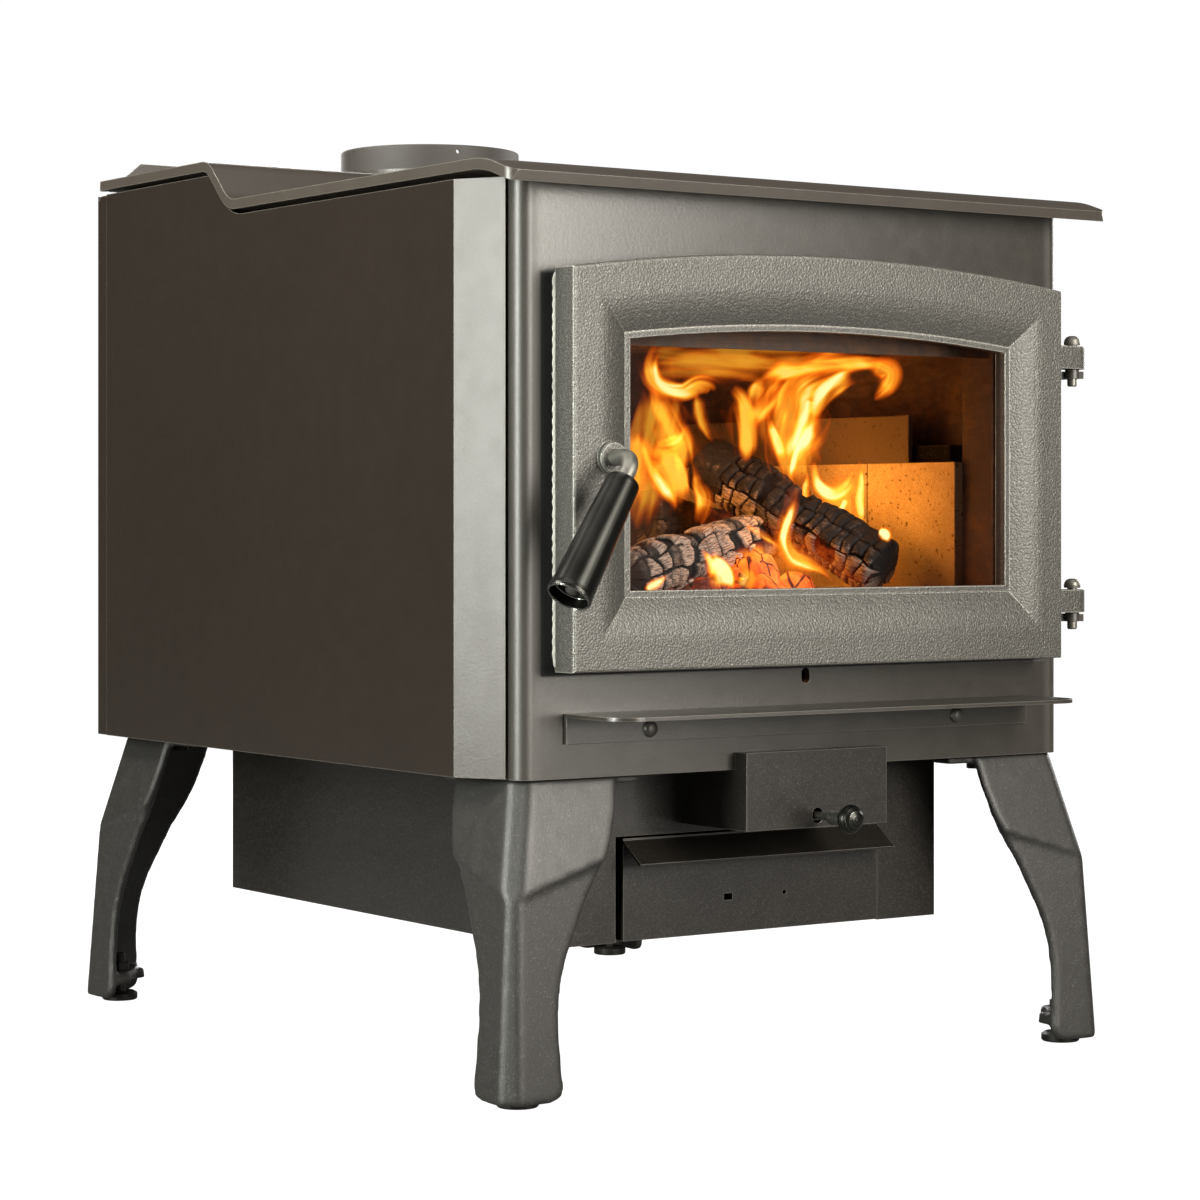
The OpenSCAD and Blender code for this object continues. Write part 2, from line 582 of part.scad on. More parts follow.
module latch_cam() color(cast) at_front() translate([hx, 0, hz]) difference() {
    along_y(front_t + 1, front_t + 7) union() {
        circle(10.5);
        translate([-24, -6]) square([24, 12]);
    }
    translate([0, 30, 0]) rotate([90, 0, 0]) cylinder(r = rod_r + 0.1, h = 40);
}

// Hinge brackets welded to the front plate, and their mushroom-headed pins
module hinge_brackets() color(steel) at_front() for (z = [lug_lo, lug_hi]) difference() {
    union() {
        translate([hinge_x, hinge_y, z - 7.6]) cylinder(r = 5.8, h = 7.2, $fn = 48);
        along_z(z - 7.6, z - 1.7) {
            translate([hinge_x - 18, hinge_y + 4]) square([26.5, 26]);
            translate([hinge_x - 1, hinge_y - 4.5]) square([9.5, 12]);
        }
    }
    along_z(z - 8, z) {
        plan_corners(front_half, 0, 60, front_r, 0.5);
        translate([hinge_x, hinge_y]) circle(pin_r, $fn = 40);
        translate([shield_end.x - 1.2, shield_end.y - 1.5]) square([20, 10]);
    }
}
module hinge_pins() color(steel) at_front() for (z = [lug_lo, lug_hi])
    translate([hinge_x, hinge_y, z]) rotate_extrude($fn = 40) polygon([[0, -14], [3.2, -14],
        [pin_r, -13], [pin_r, lug_t + 1.3], [6.6, lug_t + 1.3], [6.8, lug_t + 3.4],
        [6.2, lug_t + 5.8], [4.6, lug_t + 7.8], [2.4, lug_t + 8.7], [0, lug_t + 8.9]]);

// Leg: a cast angle with a swept knee, drawn with its top corner at the origin
slope = knee_out / knee_drop;
tilt = 0.068;
leg_holes = [[70, 22], [22, 70], [42, 42]];
leg_w = [[z0, 88], [z0 - 25, 83.5], [z0 - 46, 76.5], [z0 - 61, 69], [z0 - 74, 61], [z0 - 86, 53],
    [z0 - 101, 45.5], [z0 - 116, 38], [z0 - 126, 33], [z0 - 141, 27.5], [z0 - 156, 24],
    [z0 - 176, 22.5], [z0 - 206, 23.5], [14, 25], [8, 23.5], [5, 18.5], [leg_low, 12]];
module swap_xy() mirror([1, -1, 0]) children();
// Everything behind the face above the knee, and behind the leaning face below it
module behind_upper(off) along_x(-80, 200)
    polygon([[off + slope * 2, z0 + 2], [off - slope * z0, 0], [200, 0], [200, z0 + 2]]);
module behind_lower(off) translate([-knee_out, off - knee_out, knee_z])
    rotate([-atan(lean), 0, atan(tilt)]) translate([-200, 0, -300]) cube([500, 400, 600]);
// Everything above the ledge that runs under the knee
module above_ledge() translate([-knee_out, -knee_out, knee_z]) rotate([-16, -17.2, 0])
    translate([-200, -200, 0]) cube([500, 500, 400]);
module leg_side() intersection() {
    behind_upper(0);
    union() {
        behind_lower(ledge);
        above_ledge();
    }
}
module leg_edge(a, r1, r2) let (c = cos(a) + sin(a)) rotate([0, 0, a]) along_y(-200, 200)
    polygon([[r1 * (c - 1), z0], [(r2 - knee_out) * c - r2, knee_z],
        [(r2 - knee_out - lean * knee_z + ledge) * c - r2, 0], [300, 0], [300, z0]]);
module leg_outline() along_y(-200, 200)
    polygon(concat([[-60, z0]], [for (p = leg_w) [p.y, p.x]], [[-60, leg_low]]));
module leg_shape() {
    difference() {
        intersection() {
            leg_side();
            swap_xy() leg_side();
            leg_edge(45, 20, 20);
            leg_outline();
            swap_xy() leg_outline();
        }
        intersection() {
            behind_upper(leg_t);
            behind_lower(leg_t + ledge);
            swap_xy() behind_upper(leg_t);
            swap_xy() behind_lower(leg_t + ledge);
            along_z(26, z0 + 1) translate([-100, -100]) square(300);
        }
        intersection() {
            behind_lower(leg_t + ledge);
            swap_xy() behind_lower(leg_t + ledge);
            along_z(0, 16) translate([-100, -100]) square(300);
        }
        along_z(15, 27) polygon([[15, -2], [60, -2], [60, 60], [-2, 60], [-2, 15]]);
        translate([-foot_in, -foot_in, 0]) cylinder(r = 5.3, h = 40, $fn = 32);
    }
    difference() {
        along_z(z0 - 6, z0) polygon([[leg_t - 2, leg_t - 2], [112, leg_t - 2], [112, 29], [66, 44],
            [44, 66], [29, 112], [leg_t - 2, 112]]);
        for (p = leg_holes)
            translate([p.x, p.y, z0 - 7]) cylinder(r = 4.5, h = 8, $fn = 28);
    }
}
module place_leg(sx, sy) at_front() translate([sx * corner_x, sy > 0 ? corner_y : leg_back, 0])
    scale_flip(sx, sy) children();
module scale_flip(sx, sy) mirror([sx > 0 ? 1 : 0, 0, 0]) mirror([0, sy > 0 ? 0 : 1, 0]) children();
module leg_front_left() color(cast) place_leg(-1, 1) leg_shape();
module leg_front_right() color(cast) place_leg(1, 1) leg_shape();
module leg_rear_left() color(cast) place_leg(-1, -1) leg_shape();
module leg_rear_right() color(cast) place_leg(1, -1) leg_shape();

function hex(r) = [for (i = [0 : 5]) r * [cos(60 * i), sin(60 * i)]];
module leg_bolts() color(steel) for (sx = [-1, 1], sy = [-1, 1]) place_leg(sx, sy)
    for (p = leg_holes) translate([p.x, p.y, 0]) {
        along_z(z0 - 11.5, z0 - 6) polygon(hex(7.5));
        along_z(z0 - 6, z0) circle(4.4, $fn = 28);
    }

// Levelling foot: pad, stud and lock nut
module foot() translate([-foot_in, -foot_in, 0]) {
    rotate_extrude($fn = 48) polygon([[0, 0], [pad_r - 1, 0], [pad_r, 1], [pad_r, 5.6],
        [pad_r - 3, 7.4], [8, 8], [5, 8], [5, 40], [4, 41], [0, 41]]);
    along_z(26.3, 33) difference() {
        polygon(hex(9.2));
        circle(4.9, $fn = 28);
    }
}
module foot_front_left() color(steel) place_leg(-1, 1) foot();
module foot_front_right() color(steel) place_leg(1, 1) foot();
module foot_rear_left() color(steel) place_leg(-1, -1) foot();
module foot_rear_right() color(steel) place_leg(1, -1) foot();

top_plate();
flue_collar();
front_plate();
firebox();
base_plate();
side_shield_left();
side_shield_right();
shield_spacers();
rear_shield();
ash_lip();
lip_screws();
air_box();
air_slide();
air_rod();
air_knob();
ash_housing();
drawer_guides();
ash_drawer();
ash_grate();
floor_bricks();
side_bricks();
back_bricks();
upper_bricks();
brick_rails();
air_wash();
air_tubes();
baffle();
door_frame();
door_gasket();
door_glass();
glass_tape();
glass_retainer();
handle_rod();
handle_grip();
handle_screw();
latch_cam();
hinge_brackets();
hinge_pins();
leg_front_left();
leg_front_right();
leg_rear_left();
leg_rear_right();
leg_bolts();
foot_front_left();
foot_front_right();
foot_rear_left();
foot_rear_right();
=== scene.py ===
"""A wood-burning stove on four cast legs: finishes, fire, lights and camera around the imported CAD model."""
import json
import math

import bpy
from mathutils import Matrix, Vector, noise


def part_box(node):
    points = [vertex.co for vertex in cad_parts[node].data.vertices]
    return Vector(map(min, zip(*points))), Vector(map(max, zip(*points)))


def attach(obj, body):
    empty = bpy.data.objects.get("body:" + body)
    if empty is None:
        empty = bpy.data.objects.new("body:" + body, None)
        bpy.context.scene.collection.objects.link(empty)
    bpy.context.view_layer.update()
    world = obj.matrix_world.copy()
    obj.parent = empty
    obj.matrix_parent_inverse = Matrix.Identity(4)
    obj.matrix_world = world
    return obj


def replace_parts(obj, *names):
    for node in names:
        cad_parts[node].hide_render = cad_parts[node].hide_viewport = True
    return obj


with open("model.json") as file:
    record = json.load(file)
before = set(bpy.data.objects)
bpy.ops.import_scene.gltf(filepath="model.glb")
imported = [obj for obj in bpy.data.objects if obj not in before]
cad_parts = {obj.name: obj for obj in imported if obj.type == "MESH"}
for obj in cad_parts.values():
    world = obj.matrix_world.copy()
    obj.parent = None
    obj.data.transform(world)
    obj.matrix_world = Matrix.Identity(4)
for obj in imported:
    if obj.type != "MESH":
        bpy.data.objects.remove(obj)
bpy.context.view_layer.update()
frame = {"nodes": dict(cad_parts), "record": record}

MM = 0.001
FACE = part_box("front_plate")[0].y        # the front plate's face, from which the depths below are measured
FLOOR_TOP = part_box("floor_bricks")[1].z  # top of the brick floor
PLATE_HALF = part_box("front_plate")[1].x   # half the front plate's width
GLASS_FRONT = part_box("door_glass")[0].y
COLLAR_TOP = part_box("flue_collar")[1].z

# Places where one look fades into another, each from one value to the next, in metres.
DOOR_SHADOW_SIDE = (0.2448, 0.2474)      # half width of the painted shadow on the front plate round the firebox's mouth, beside the door
DOOR_SHADOW_FOOT = (0.3105, 0.3130)
DOOR_SHADOW_HEAD = (0.606, 0.610)
REVEAL_SIDE = (0.196, 0.200)      # half width of the window's reveal
SLAB_FOOT = (0.4738, 0.4742)      # where the painted shade on the upper slab starts above the firebricks
LOW_STEEL = (0.25, 0.26)          # below this, bare steel is darker


# ---------------------------------------------------------------- shader maths
def tone(red, green, blue):
    """A linear colour from an eight-bit screen colour."""
    def linear(value):
        value /= 255.0
        return value / 12.92 if value <= 0.04045 else ((value + 0.055) / 1.055) ** 2.4
    return (linear(red), linear(green), linear(blue), 1.0)


class Wire:
    """One output of a shader node. The operators add Math nodes to its finish."""

    def __init__(self, finish, socket):
        self.finish = finish
        self.socket = socket

    def math(self, operation, *values):
        return self.finish.add("Math", {"operation": operation}, dict(enumerate(values)))

    def __add__(self, other):
        return self.math("ADD", self, other)

    def __sub__(self, other):
        return self.math("SUBTRACT", self, other)

    def __rsub__(self, other):
        return self.math("SUBTRACT", other, self)

    def __mul__(self, other):
        return self.math("MULTIPLY", self, other)

    def __pow__(self, other):
        return self.math("POWER", self, other)

    __radd__ = __add__
    __rmul__ = __mul__

    def least(self, other):
        return self.math("MINIMUM", self, other)

    def step(self, low, high, to_low=0.0, to_high=1.0):
        """Rises smoothly from to_low to to_high as the value goes from low to high."""
        return self.finish.add("MapRange", {"interpolation_type": "SMOOTHSTEP"},
                               {0: self, 1: low, 2: high, 3: to_low, 4: to_high})


class Finish:
    """A material being made: a node tree with a few short words for what it needs."""

    def __init__(self, name):
        self.material = bpy.data.materials.new(name)
        self.material.use_nodes = True
        self.nodes = self.material.node_tree.nodes
        self.links = self.material.node_tree.links
        self.nodes.clear()
        self.output = self.nodes.new("ShaderNodeOutputMaterial")
        self.place = self.add("TexCoord", {}, {}, "Object")

    def add(self, kind, settings, sockets, out=0):
        node = self.nodes.new("ShaderNode" + kind)
        for key, value in settings.items():
            if key == "stops":
                ramp = node.color_ramp
                while len(ramp.elements) < len(value):
                    ramp.elements.new(0.5)
                for element, (position, colour) in zip(ramp.elements, value):
                    element.position = position
                    element.color = colour
            else:
                setattr(node, key, value)
        for key, value in sockets.items():
            if isinstance(value, Wire):
                self.links.new(value.socket, node.inputs[key])
            else:
                node.inputs[key].default_value = value
        return Wire(self, node.outputs[out])

    def stretched(self, scale):
        return self.add("Mapping", {}, {"Vector": self.place, "Scale": scale})

    def noise(self, scale, detail=2.0, rough=0.5, at=None, twist=0.0):
        return self.add("TexNoise", {}, {"Vector": at or self.place, "Scale": scale, "Detail": detail,
                                         "Roughness": rough, "Distortion": twist}, "Fac")

    def cells(self, scale, feature="F1", at=None):
        return self.add("TexVoronoi", {"feature": feature},
                        {"Vector": at or self.place, "Scale": scale}, "Distance")

    def axis(self, name):
        return self.add("SeparateXYZ", {}, {0: self.place}, name)

    def from_middle(self):
        """How far to either side of the stove's middle."""
        return self.axis("X").math("ABSOLUTE", self.axis("X"))

    def attribute(self, name):
        return self.add("Attribute", {"attribute_name": name}, {}, "Fac")

    def mix(self, factor, first, second):
        return self.add("Mix", {"data_type": "RGBA"}, {0: factor, 6: first, 7: second}, 2)

    def rounded(self, radius):
        """The normal as it would be with every edge rounded by this radius."""
        return self.add("Bevel", {"samples": 4}, {"Radius": radius}, "Normal")

    def edges(self, radius, gain=6.0):
        """1 on sharp edges and 0 away from them."""
        normal = self.add("NewGeometry", {}, {}, "Normal")
        same = self.add("VectorMath", {"operation": "DOT_PRODUCT"},
                        {0: self.rounded(radius), 1: normal}, "Value")
        return ((1.0 - same) * gain).least(1.0)

    def bump(self, height, strength, distance, normal=None):
        sockets = {"Height": height, "Strength": strength, "Distance": distance}
        if normal:
            sockets["Normal"] = normal
        return self.add("Bump", {}, sockets)

    def shine(self, **sockets):
        """Ends the finish with a Principled shader. Underscores stand for the spaces in socket names."""
        shader = self.add("BsdfPrincipled", {}, {k.replace("_", " "): v for k, v in sockets.items()})
        self.links.new(shader.socket, self.output.inputs["Surface"])
        return self.material


# ---------------------------------------------------------------- finishes
def stove_paint(name, colour, light, rough, spec=1.0, sooty_and_shaded=False, flecks=0.22, dull_above=None):
    """High-temperature paint: faint clouds of tone, metal flake, orange peel, and edges lighter, partly from wear
    and partly as a painted highlight.

    The one flag paints a black shadow on the front plate round the firebox's mouth, where the door shades it, and
    dull_above is the height where it gets darker and matt.
    """
    f = Finish(name)
    clouds = f.noise(2.6, 4.0, 0.6)
    speckle = f.noise(1500.0, 1.0, 0.5)
    mist = f.noise(60.0, 3.0, 0.65)
    edge = f.edges(0.0012)
    body = f.mix(clouds.step(0.3, 0.7) * 0.55 + mist.step(0.3, 0.75) * 0.2, colour, light)
    flake = f.mix(speckle.step(0.58, 0.72) * flecks, body, tone(150, 146, 138))
    # Edges lighter: partly wear, partly a painted highlight.
    wear_and_painted_light = f.mix(edge * 0.35, flake, tone(176, 170, 158))
    peel = f.noise(420.0, 2.0, 0.5)
    height = peel * 0.6 + speckle * 0.4
    gloss = mist.step(0.25, 0.8, rough - 0.015, rough + 0.02)
    if dull_above:
        dull = f.axis("Z").step(dull_above, dull_above + 0.001)
        wear_and_painted_light = f.mix(dull * 0.5, wear_and_painted_light, tone(30, 26, 22))
        gloss = gloss + dull * 0.25
    # Painted shadow: the front plate turned black round the firebox's mouth, where the door shades it.
    if sooty_and_shaded:
        across = f.from_middle()
        tall = f.axis("Z").step(*DOOR_SHADOW_FOOT) * f.axis("Z").step(*DOOR_SHADOW_HEAD, 1.0, 0.0)
        soot_and_shadow = across.step(*DOOR_SHADOW_SIDE, 1.0, 0.0) * tall
        wear_and_painted_light = f.mix(soot_and_shadow, wear_and_painted_light, tone(3, 3, 3))
        gloss = gloss + soot_and_shadow * 0.6 + across.step(PLATE_HALF - 0.020, PLATE_HALF - 0.012) * 0.14
    return f.shine(Base_Color=wear_and_painted_light, Metallic=0.2, Specular_IOR_Level=spec, Roughness=gloss,
                   Normal=f.bump(height, 0.25, 0.0004, f.rounded(0.0008)))


def leather_casting():
    """The door: an iron casting, pebbled like leather, in metallic paint, with painted shade in its creases, its
    pits and the window's reveal, and edges lighter, mostly as a painted highlight and partly from wear.
    """
    f = Finish("door_casting")
    bend = f.noise(110.0, 2.0, 0.5)
    pebble = f.cells(560.0, "F1")
    crease = f.cells(560.0, "DISTANCE_TO_EDGE")
    wander = f.noise(430.0, 3.0, 0.6)
    clouds = f.noise(5.0, 3.0, 0.5)
    speckle = f.noise(900.0, 1.0, 0.5)
    pits = f.cells(70.0, "F1")
    edge = f.edges(0.0016, 8.0)
    body = f.mix(clouds.step(0.3, 0.7) * 0.5 + wander.step(0.35, 0.7) * 0.3, tone(70, 68, 63), tone(88, 86, 80))
    # Painted shade: darker in the creases between the pebbles and in the pits.
    dark = f.mix(crease.step(0.0, 0.16, 0.45, 0.0), body, tone(36, 35, 32))
    flake = f.mix(speckle.step(0.58, 0.74) * 0.3, dark, tone(178, 175, 166))
    pit_shaded = f.mix(pits.step(0.04, 0.08, 0.6, 0.0), flake, tone(26, 25, 23))
    # Edges lighter: mostly a painted highlight along the door's edges, partly wear.
    wear_and_painted_light = f.mix(edge * 0.7, pit_shaded, tone(222, 219, 208))
    # Painted shade: the window's reveal darkened to a deep red-brown.
    reveal = (f.axis("Y").step(GLASS_FRONT - 0.009, GLASS_FRONT - 0.005)
              * f.from_middle().step(*REVEAL_SIDE, 1.0, 0.0))
    wear_and_painted_light = f.mix(reveal * 0.85, wear_and_painted_light, tone(22, 13, 10))
    height = pebble * -1.1 + wander * 0.14 + bend * 0.15 + pits.step(0.04, 0.12) * 0.3
    return f.shine(Base_Color=wear_and_painted_light, Metallic=0.5, Specular_IOR_Level=1.0,
                   Roughness=wander.step(0.3, 0.75, 0.44, 0.56) - edge * 0.12,
                   Normal=f.bump(height, 0.34, 0.0008, f.rounded(0.0012)))


def sand_casting(name, colour, light, rough, coarse=1.0, spec=1.0):
    """Legs and grate: a sand casting, painted, with soft pits and rubbed edges."""
    f = Finish(name)
    sand = f.noise(700.0, 3.0, 0.6)
    lumps = f.noise(90.0, 3.0, 0.55)
    clouds = f.noise(6.0, 3.0, 0.5)
    pits = f.cells(240.0, "F1")
    edge = f.edges(0.0025)
    body = f.mix(clouds.step(0.3, 0.7) * 0.3 + lumps.step(0.3, 0.7) * 0.15, colour, light)
    flake = f.mix(sand.step(0.55, 0.75) * 0.25, body, tone(140, 138, 132))
    wear_and_painted_light = f.mix(edge * 0.12, flake, tone(150, 147, 140))
    height = sand * 0.6 + lumps * 0.5 - pits.step(0.0, 0.25, 0.35, 0.0)
    return f.shine(Base_Color=wear_and_painted_light, Metallic=0.3, Specular_IOR_Level=spec,
                   Roughness=lumps.step(0.3, 0.75, rough - 0.02, rough + 0.03),
                   Normal=f.bump(height, 0.34 * coarse, 0.0006, f.rounded(0.0050)))


def browned_steel():
    """Plate inside the firebox: heat-browned, with soot and rust blooms."""
    f = Finish("browned_steel")
    soot_and_shadow = f.noise(9.0, 5.0, 0.62)
    scale = f.noise(70.0, 4.0, 0.6)
    streak = f.noise(30.0, 3.0, 0.6, at=f.stretched((0.25, 2.0, 6.0)))
    bare = f.mix(scale.step(0.35, 0.7), tone(70, 52, 40), tone(104, 74, 52))
    brown = f.mix(streak.step(0.4, 0.72) * 0.7, bare, tone(58, 40, 30))
    sooty_and_shaded = f.mix(soot_and_shadow.step(0.45, 0.7) * 0.6, brown, tone(38, 33, 30))
    return f.shine(Base_Color=sooty_and_shaded, Metallic=0.25, Roughness=scale.step(0.3, 0.7, 0.5, 0.72),
                   Normal=f.bump(scale * 0.7 + streak * 0.5, 0.4, 0.0006, f.rounded(0.0008)))


def firebrick():
    """Refractory brick: pale buff, open pores, smoke in patches, a darker worn edge, and painted shade on the upper
    slab.
    """
    f = Finish("firebrick")
    pores = f.cells(520.0, "F1")
    grit = f.noise(900.0, 2.0, 0.6)
    smoke = f.noise(11.0, 4.0, 0.6)
    spots = f.noise(260.0, 1.0, 0.5)
    body = f.mix(grit.step(0.35, 0.7), tone(186, 154, 112), tone(214, 186, 146))
    spotted = f.mix(spots.step(0.66, 0.72) * 0.8, body, tone(96, 66, 44))
    stained = f.mix(smoke.step(0.42, 0.72) * 0.35, spotted, tone(120, 88, 62))
    # Painted shade: the upper slab, lit less by the coals, darkened to brown.
    sooty_and_shaded = f.mix(f.axis("Z").step(*SLAB_FOOT) * 0.88, stained, tone(66, 46, 36))
    edged = f.mix(f.edges(0.0015) * 0.5, sooty_and_shaded, tone(110, 80, 56))
    height = pores.step(0.0, 0.22) * 0.5 + grit * 0.5 - spots.step(0.66, 0.74) * 0.8
    return f.shine(Base_Color=edged, Metallic=0.0, Roughness=grit.step(0.2, 0.8, 0.82, 0.95),
                   Normal=f.bump(height, 0.5, 0.0008, f.rounded(0.0015)))


def fibre_board():
    """The baffle: pressed fibre board with soot in patches."""
    f = Finish("fibre_board")
    fibre = f.noise(60.0, 4.0, 0.6, at=f.stretched((1.0, 5.0, 5.0)))
    soot_and_shadow = f.noise(7.0, 4.0, 0.6)
    body = f.mix(fibre.step(0.3, 0.7), tone(116, 92, 70), tone(150, 124, 98))
    sooty_and_shaded = f.mix(soot_and_shadow.step(0.35, 0.65) * 0.75, body, tone(62, 48, 38))
    return f.shine(Base_Color=sooty_and_shaded, Metallic=0.0, Roughness=fibre.step(0.3, 0.7, 0.86, 0.95),
                   Normal=f.bump(fibre, 0.5, 0.0010))


def black_nickel():
    """The grip: satin black nickel with fine turning marks and light handling haze."""
    f = Finish("black_nickel")
    haze = f.noise(45.0, 3.0, 0.55)
    marks = f.noise(1600.0, 1.0, 0.5)
    edge = f.edges(0.0010, 8.0)
    body = f.mix(haze.step(0.3, 0.7), tone(38, 38, 35), tone(45, 45, 42))
    # Painted highlight: edges turned near white for the glints on the rim.
    wear_and_painted_light = f.mix(edge * 0.9, body, tone(214, 212, 204))
    return f.shine(Base_Color=wear_and_painted_light, Metallic=0.9,
                   Roughness=haze.step(0.3, 0.75, 0.29, 0.31) - edge * 0.16,
                   Normal=f.bump(marks, 0.05, 0.0002, f.rounded(0.0008)))


def oiled_steel(name, colour, light, rough):
    """Bare rods and fasteners: drawn steel with a film of oil, darker below LOW_STEEL."""
    f = Finish(name)
    haze = f.noise(60.0, 3.0, 0.6)
    grain = f.noise(1100.0, 2.0, 0.5)
    body = f.mix(haze.step(0.3, 0.7), colour, light)
    wear_and_painted_light = f.mix(f.edges(0.0010) * 0.4, body, tone(170, 168, 162))
    wear_and_painted_light = f.mix(f.axis("Z").step(*LOW_STEEL, 0.75, 0.0), wear_and_painted_light, tone(26, 25, 23))
    return f.shine(Base_Color=wear_and_painted_light, Metallic=0.7, Roughness=haze.step(0.3, 0.75, rough - 0.05, rough + 0.1),
                   Normal=f.bump(grain, 0.12, 0.0003, f.rounded(0.0006)))


def glass_fibre():
    """Rope seal and glass tape: pale glass fibre, greyed by smoke."""
    f = Finish("glass_fibre")
    yarn = f.noise(1800.0, 2.0, 0.6)
    smoke = f.noise(40.0, 3.0, 0.6)
    body = f.mix(yarn.step(0.3, 0.7), tone(158, 155, 146), tone(206, 203, 194))
    smoky = f.mix(smoke.step(0.4, 0.75) * 0.5, body, tone(104, 98, 90))
    return f.shine(Base_Color=smoky, Metallic=0.0, Roughness=yarn.step(0.2, 0.8, 0.78, 0.92),
                   Normal=f.bump(yarn, 0.5, 0.0004))


def ceramic_glass():
    """Stove glass: clear, with a thin brown film of smoke that thickens towards its edges, and a dark strip at its
    side edges that is painted shade over the firebox's edge behind it.
    """
    f = Finish("ceramic_glass")
    dust = f.noise(35.0, 4.0, 0.65)
    haze = f.noise(7.0, 3.0, 0.6)
    side = f.from_middle()
    # The last step is painted shade: a dark strip at the glass's side edges, over the firebox's edge behind it.
    smoke_and_shade_alpha = (haze.step(0.35, 0.75, 0.0, 0.05) + dust.step(0.45, 0.8, 0.0, 0.03)
            + side.step(0.145, 0.185, 0.0, 0.14) + side.step(0.183, 0.193, 0.0, 0.55))
    return f.shine(Base_Color=f.mix(dust.step(0.3, 0.7), tone(50, 26, 18), tone(76, 42, 28)), Metallic=0.0,
                   Roughness=dust.step(0.4, 0.8, 0.28, 0.4), Specular_IOR_Level=0.1, Alpha=smoke_and_shade_alpha)


FINISHES = {
    "top_paint": stove_paint("top_paint", tone(60, 53, 46), tone(68, 61, 53), rough=0.40, flecks=0.12,
                             dull_above=COLLAR_TOP - 0.022),
    "body_paint": stove_paint("body_paint", tone(45, 41, 35), tone(52, 48, 41), rough=0.31, flecks=0.12,
                              sooty_and_shaded=True),
    "shield_paint": stove_paint("shield_paint", tone(37, 31, 26), tone(42, 35, 29), rough=0.32, flecks=0.05,
                                spec=0.40),
    "inner_steel": browned_steel(),
    "ash_paint": stove_paint("ash_paint", tone(26, 23, 20), tone(31, 28, 24), rough=0.30, spec=0.8),
    "door_cast": leather_casting(),
    "leg_cast": sand_casting("leg_casting", tone(31, 29, 25), tone(39, 36, 32), rough=0.48),
    "grate_cast": sand_casting("grate_casting", tone(11, 10, 9), tone(20, 18, 16), rough=0.66, coarse=1.5,
                               spec=0.15),
    "rope": glass_fibre(),
    "door_glass": ceramic_glass(),
    "firebrick": firebrick(),
    "board": fibre_board(),
    "grip_metal": black_nickel(),
    "rod_steel": oiled_steel("oiled_steel", tone(104, 102, 95), tone(128, 126, 118), 0.42),
    "fastener": oiled_steel("dark_zinc", tone(66, 64, 60), tone(90, 88, 82), 0.42),
}
for part in frame["record"]["subparts"]:
    for material_slot in frame["nodes"][part["node"]].material_slots:
        material_slot.material = FINISHES[part["material_slot"]]


# ---------------------------------------------------------------- mesh helpers
def mesh_piece(name, points, faces, material, body="stove", smooth=True, uvs=None, weights=None):
    """A mesh object that rides on a body. uvs has one pair for each point; weights is name: value list."""
    mesh = bpy.data.meshes.new(name)
    mesh.from_pydata([tuple(p) for p in points], [], faces)
    mesh.validate()
    if uvs:
        layer = mesh.uv_layers.new(name="UVMap")
        for loop in mesh.loops:
            layer.data[loop.index].uv = uvs[loop.vertex_index]
    for key, values in (weights or {}).items():
        mesh.attributes.new(key, "FLOAT", "POINT").data.foreach_set("value", values)
    mesh.materials.append(material)
    for polygon in mesh.polygons:
        polygon.use_smooth = smooth
    piece = bpy.data.objects.new(name, mesh)
    bpy.context.scene.collection.objects.link(piece)
    if body:
        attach(piece, body)
    return piece


def soft_casting(node, voxel=0.0014, rounds=26, keep=0.35):
    """Stands in for a sharp CAD casting: the same form with the soft edges that a sand mould leaves."""
    source = frame["nodes"][node]
    piece = bpy.data.objects.new(node + "_cast", source.data.copy())
    bpy.context.scene.collection.objects.link(piece)
    for kind, settings in (("REMESH", {"mode": "VOXEL", "voxel_size": voxel}),
                           ("SMOOTH", {"factor": 0.5, "iterations": rounds}), ("DECIMATE", {"ratio": keep})):
        modifier = piece.modifiers.new(kind.lower(), kind)
        for key, value in settings.items():
            setattr(modifier, key, value)
    bpy.context.view_layer.update()
    mesh = bpy.data.meshes.new_from_object(piece.evaluated_get(bpy.context.evaluated_depsgraph_get()))
    piece.modifiers.clear()
    mesh.transform(source.matrix_world)
    for polygon in mesh.polygons:
        polygon.use_smooth = True
    piece.data = mesh
    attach(piece, "stove")
    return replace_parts(piece, node)


for corner in ("front_left", "front_right", "rear_left", "rear_right"):
    soft_casting("leg_" + corner)


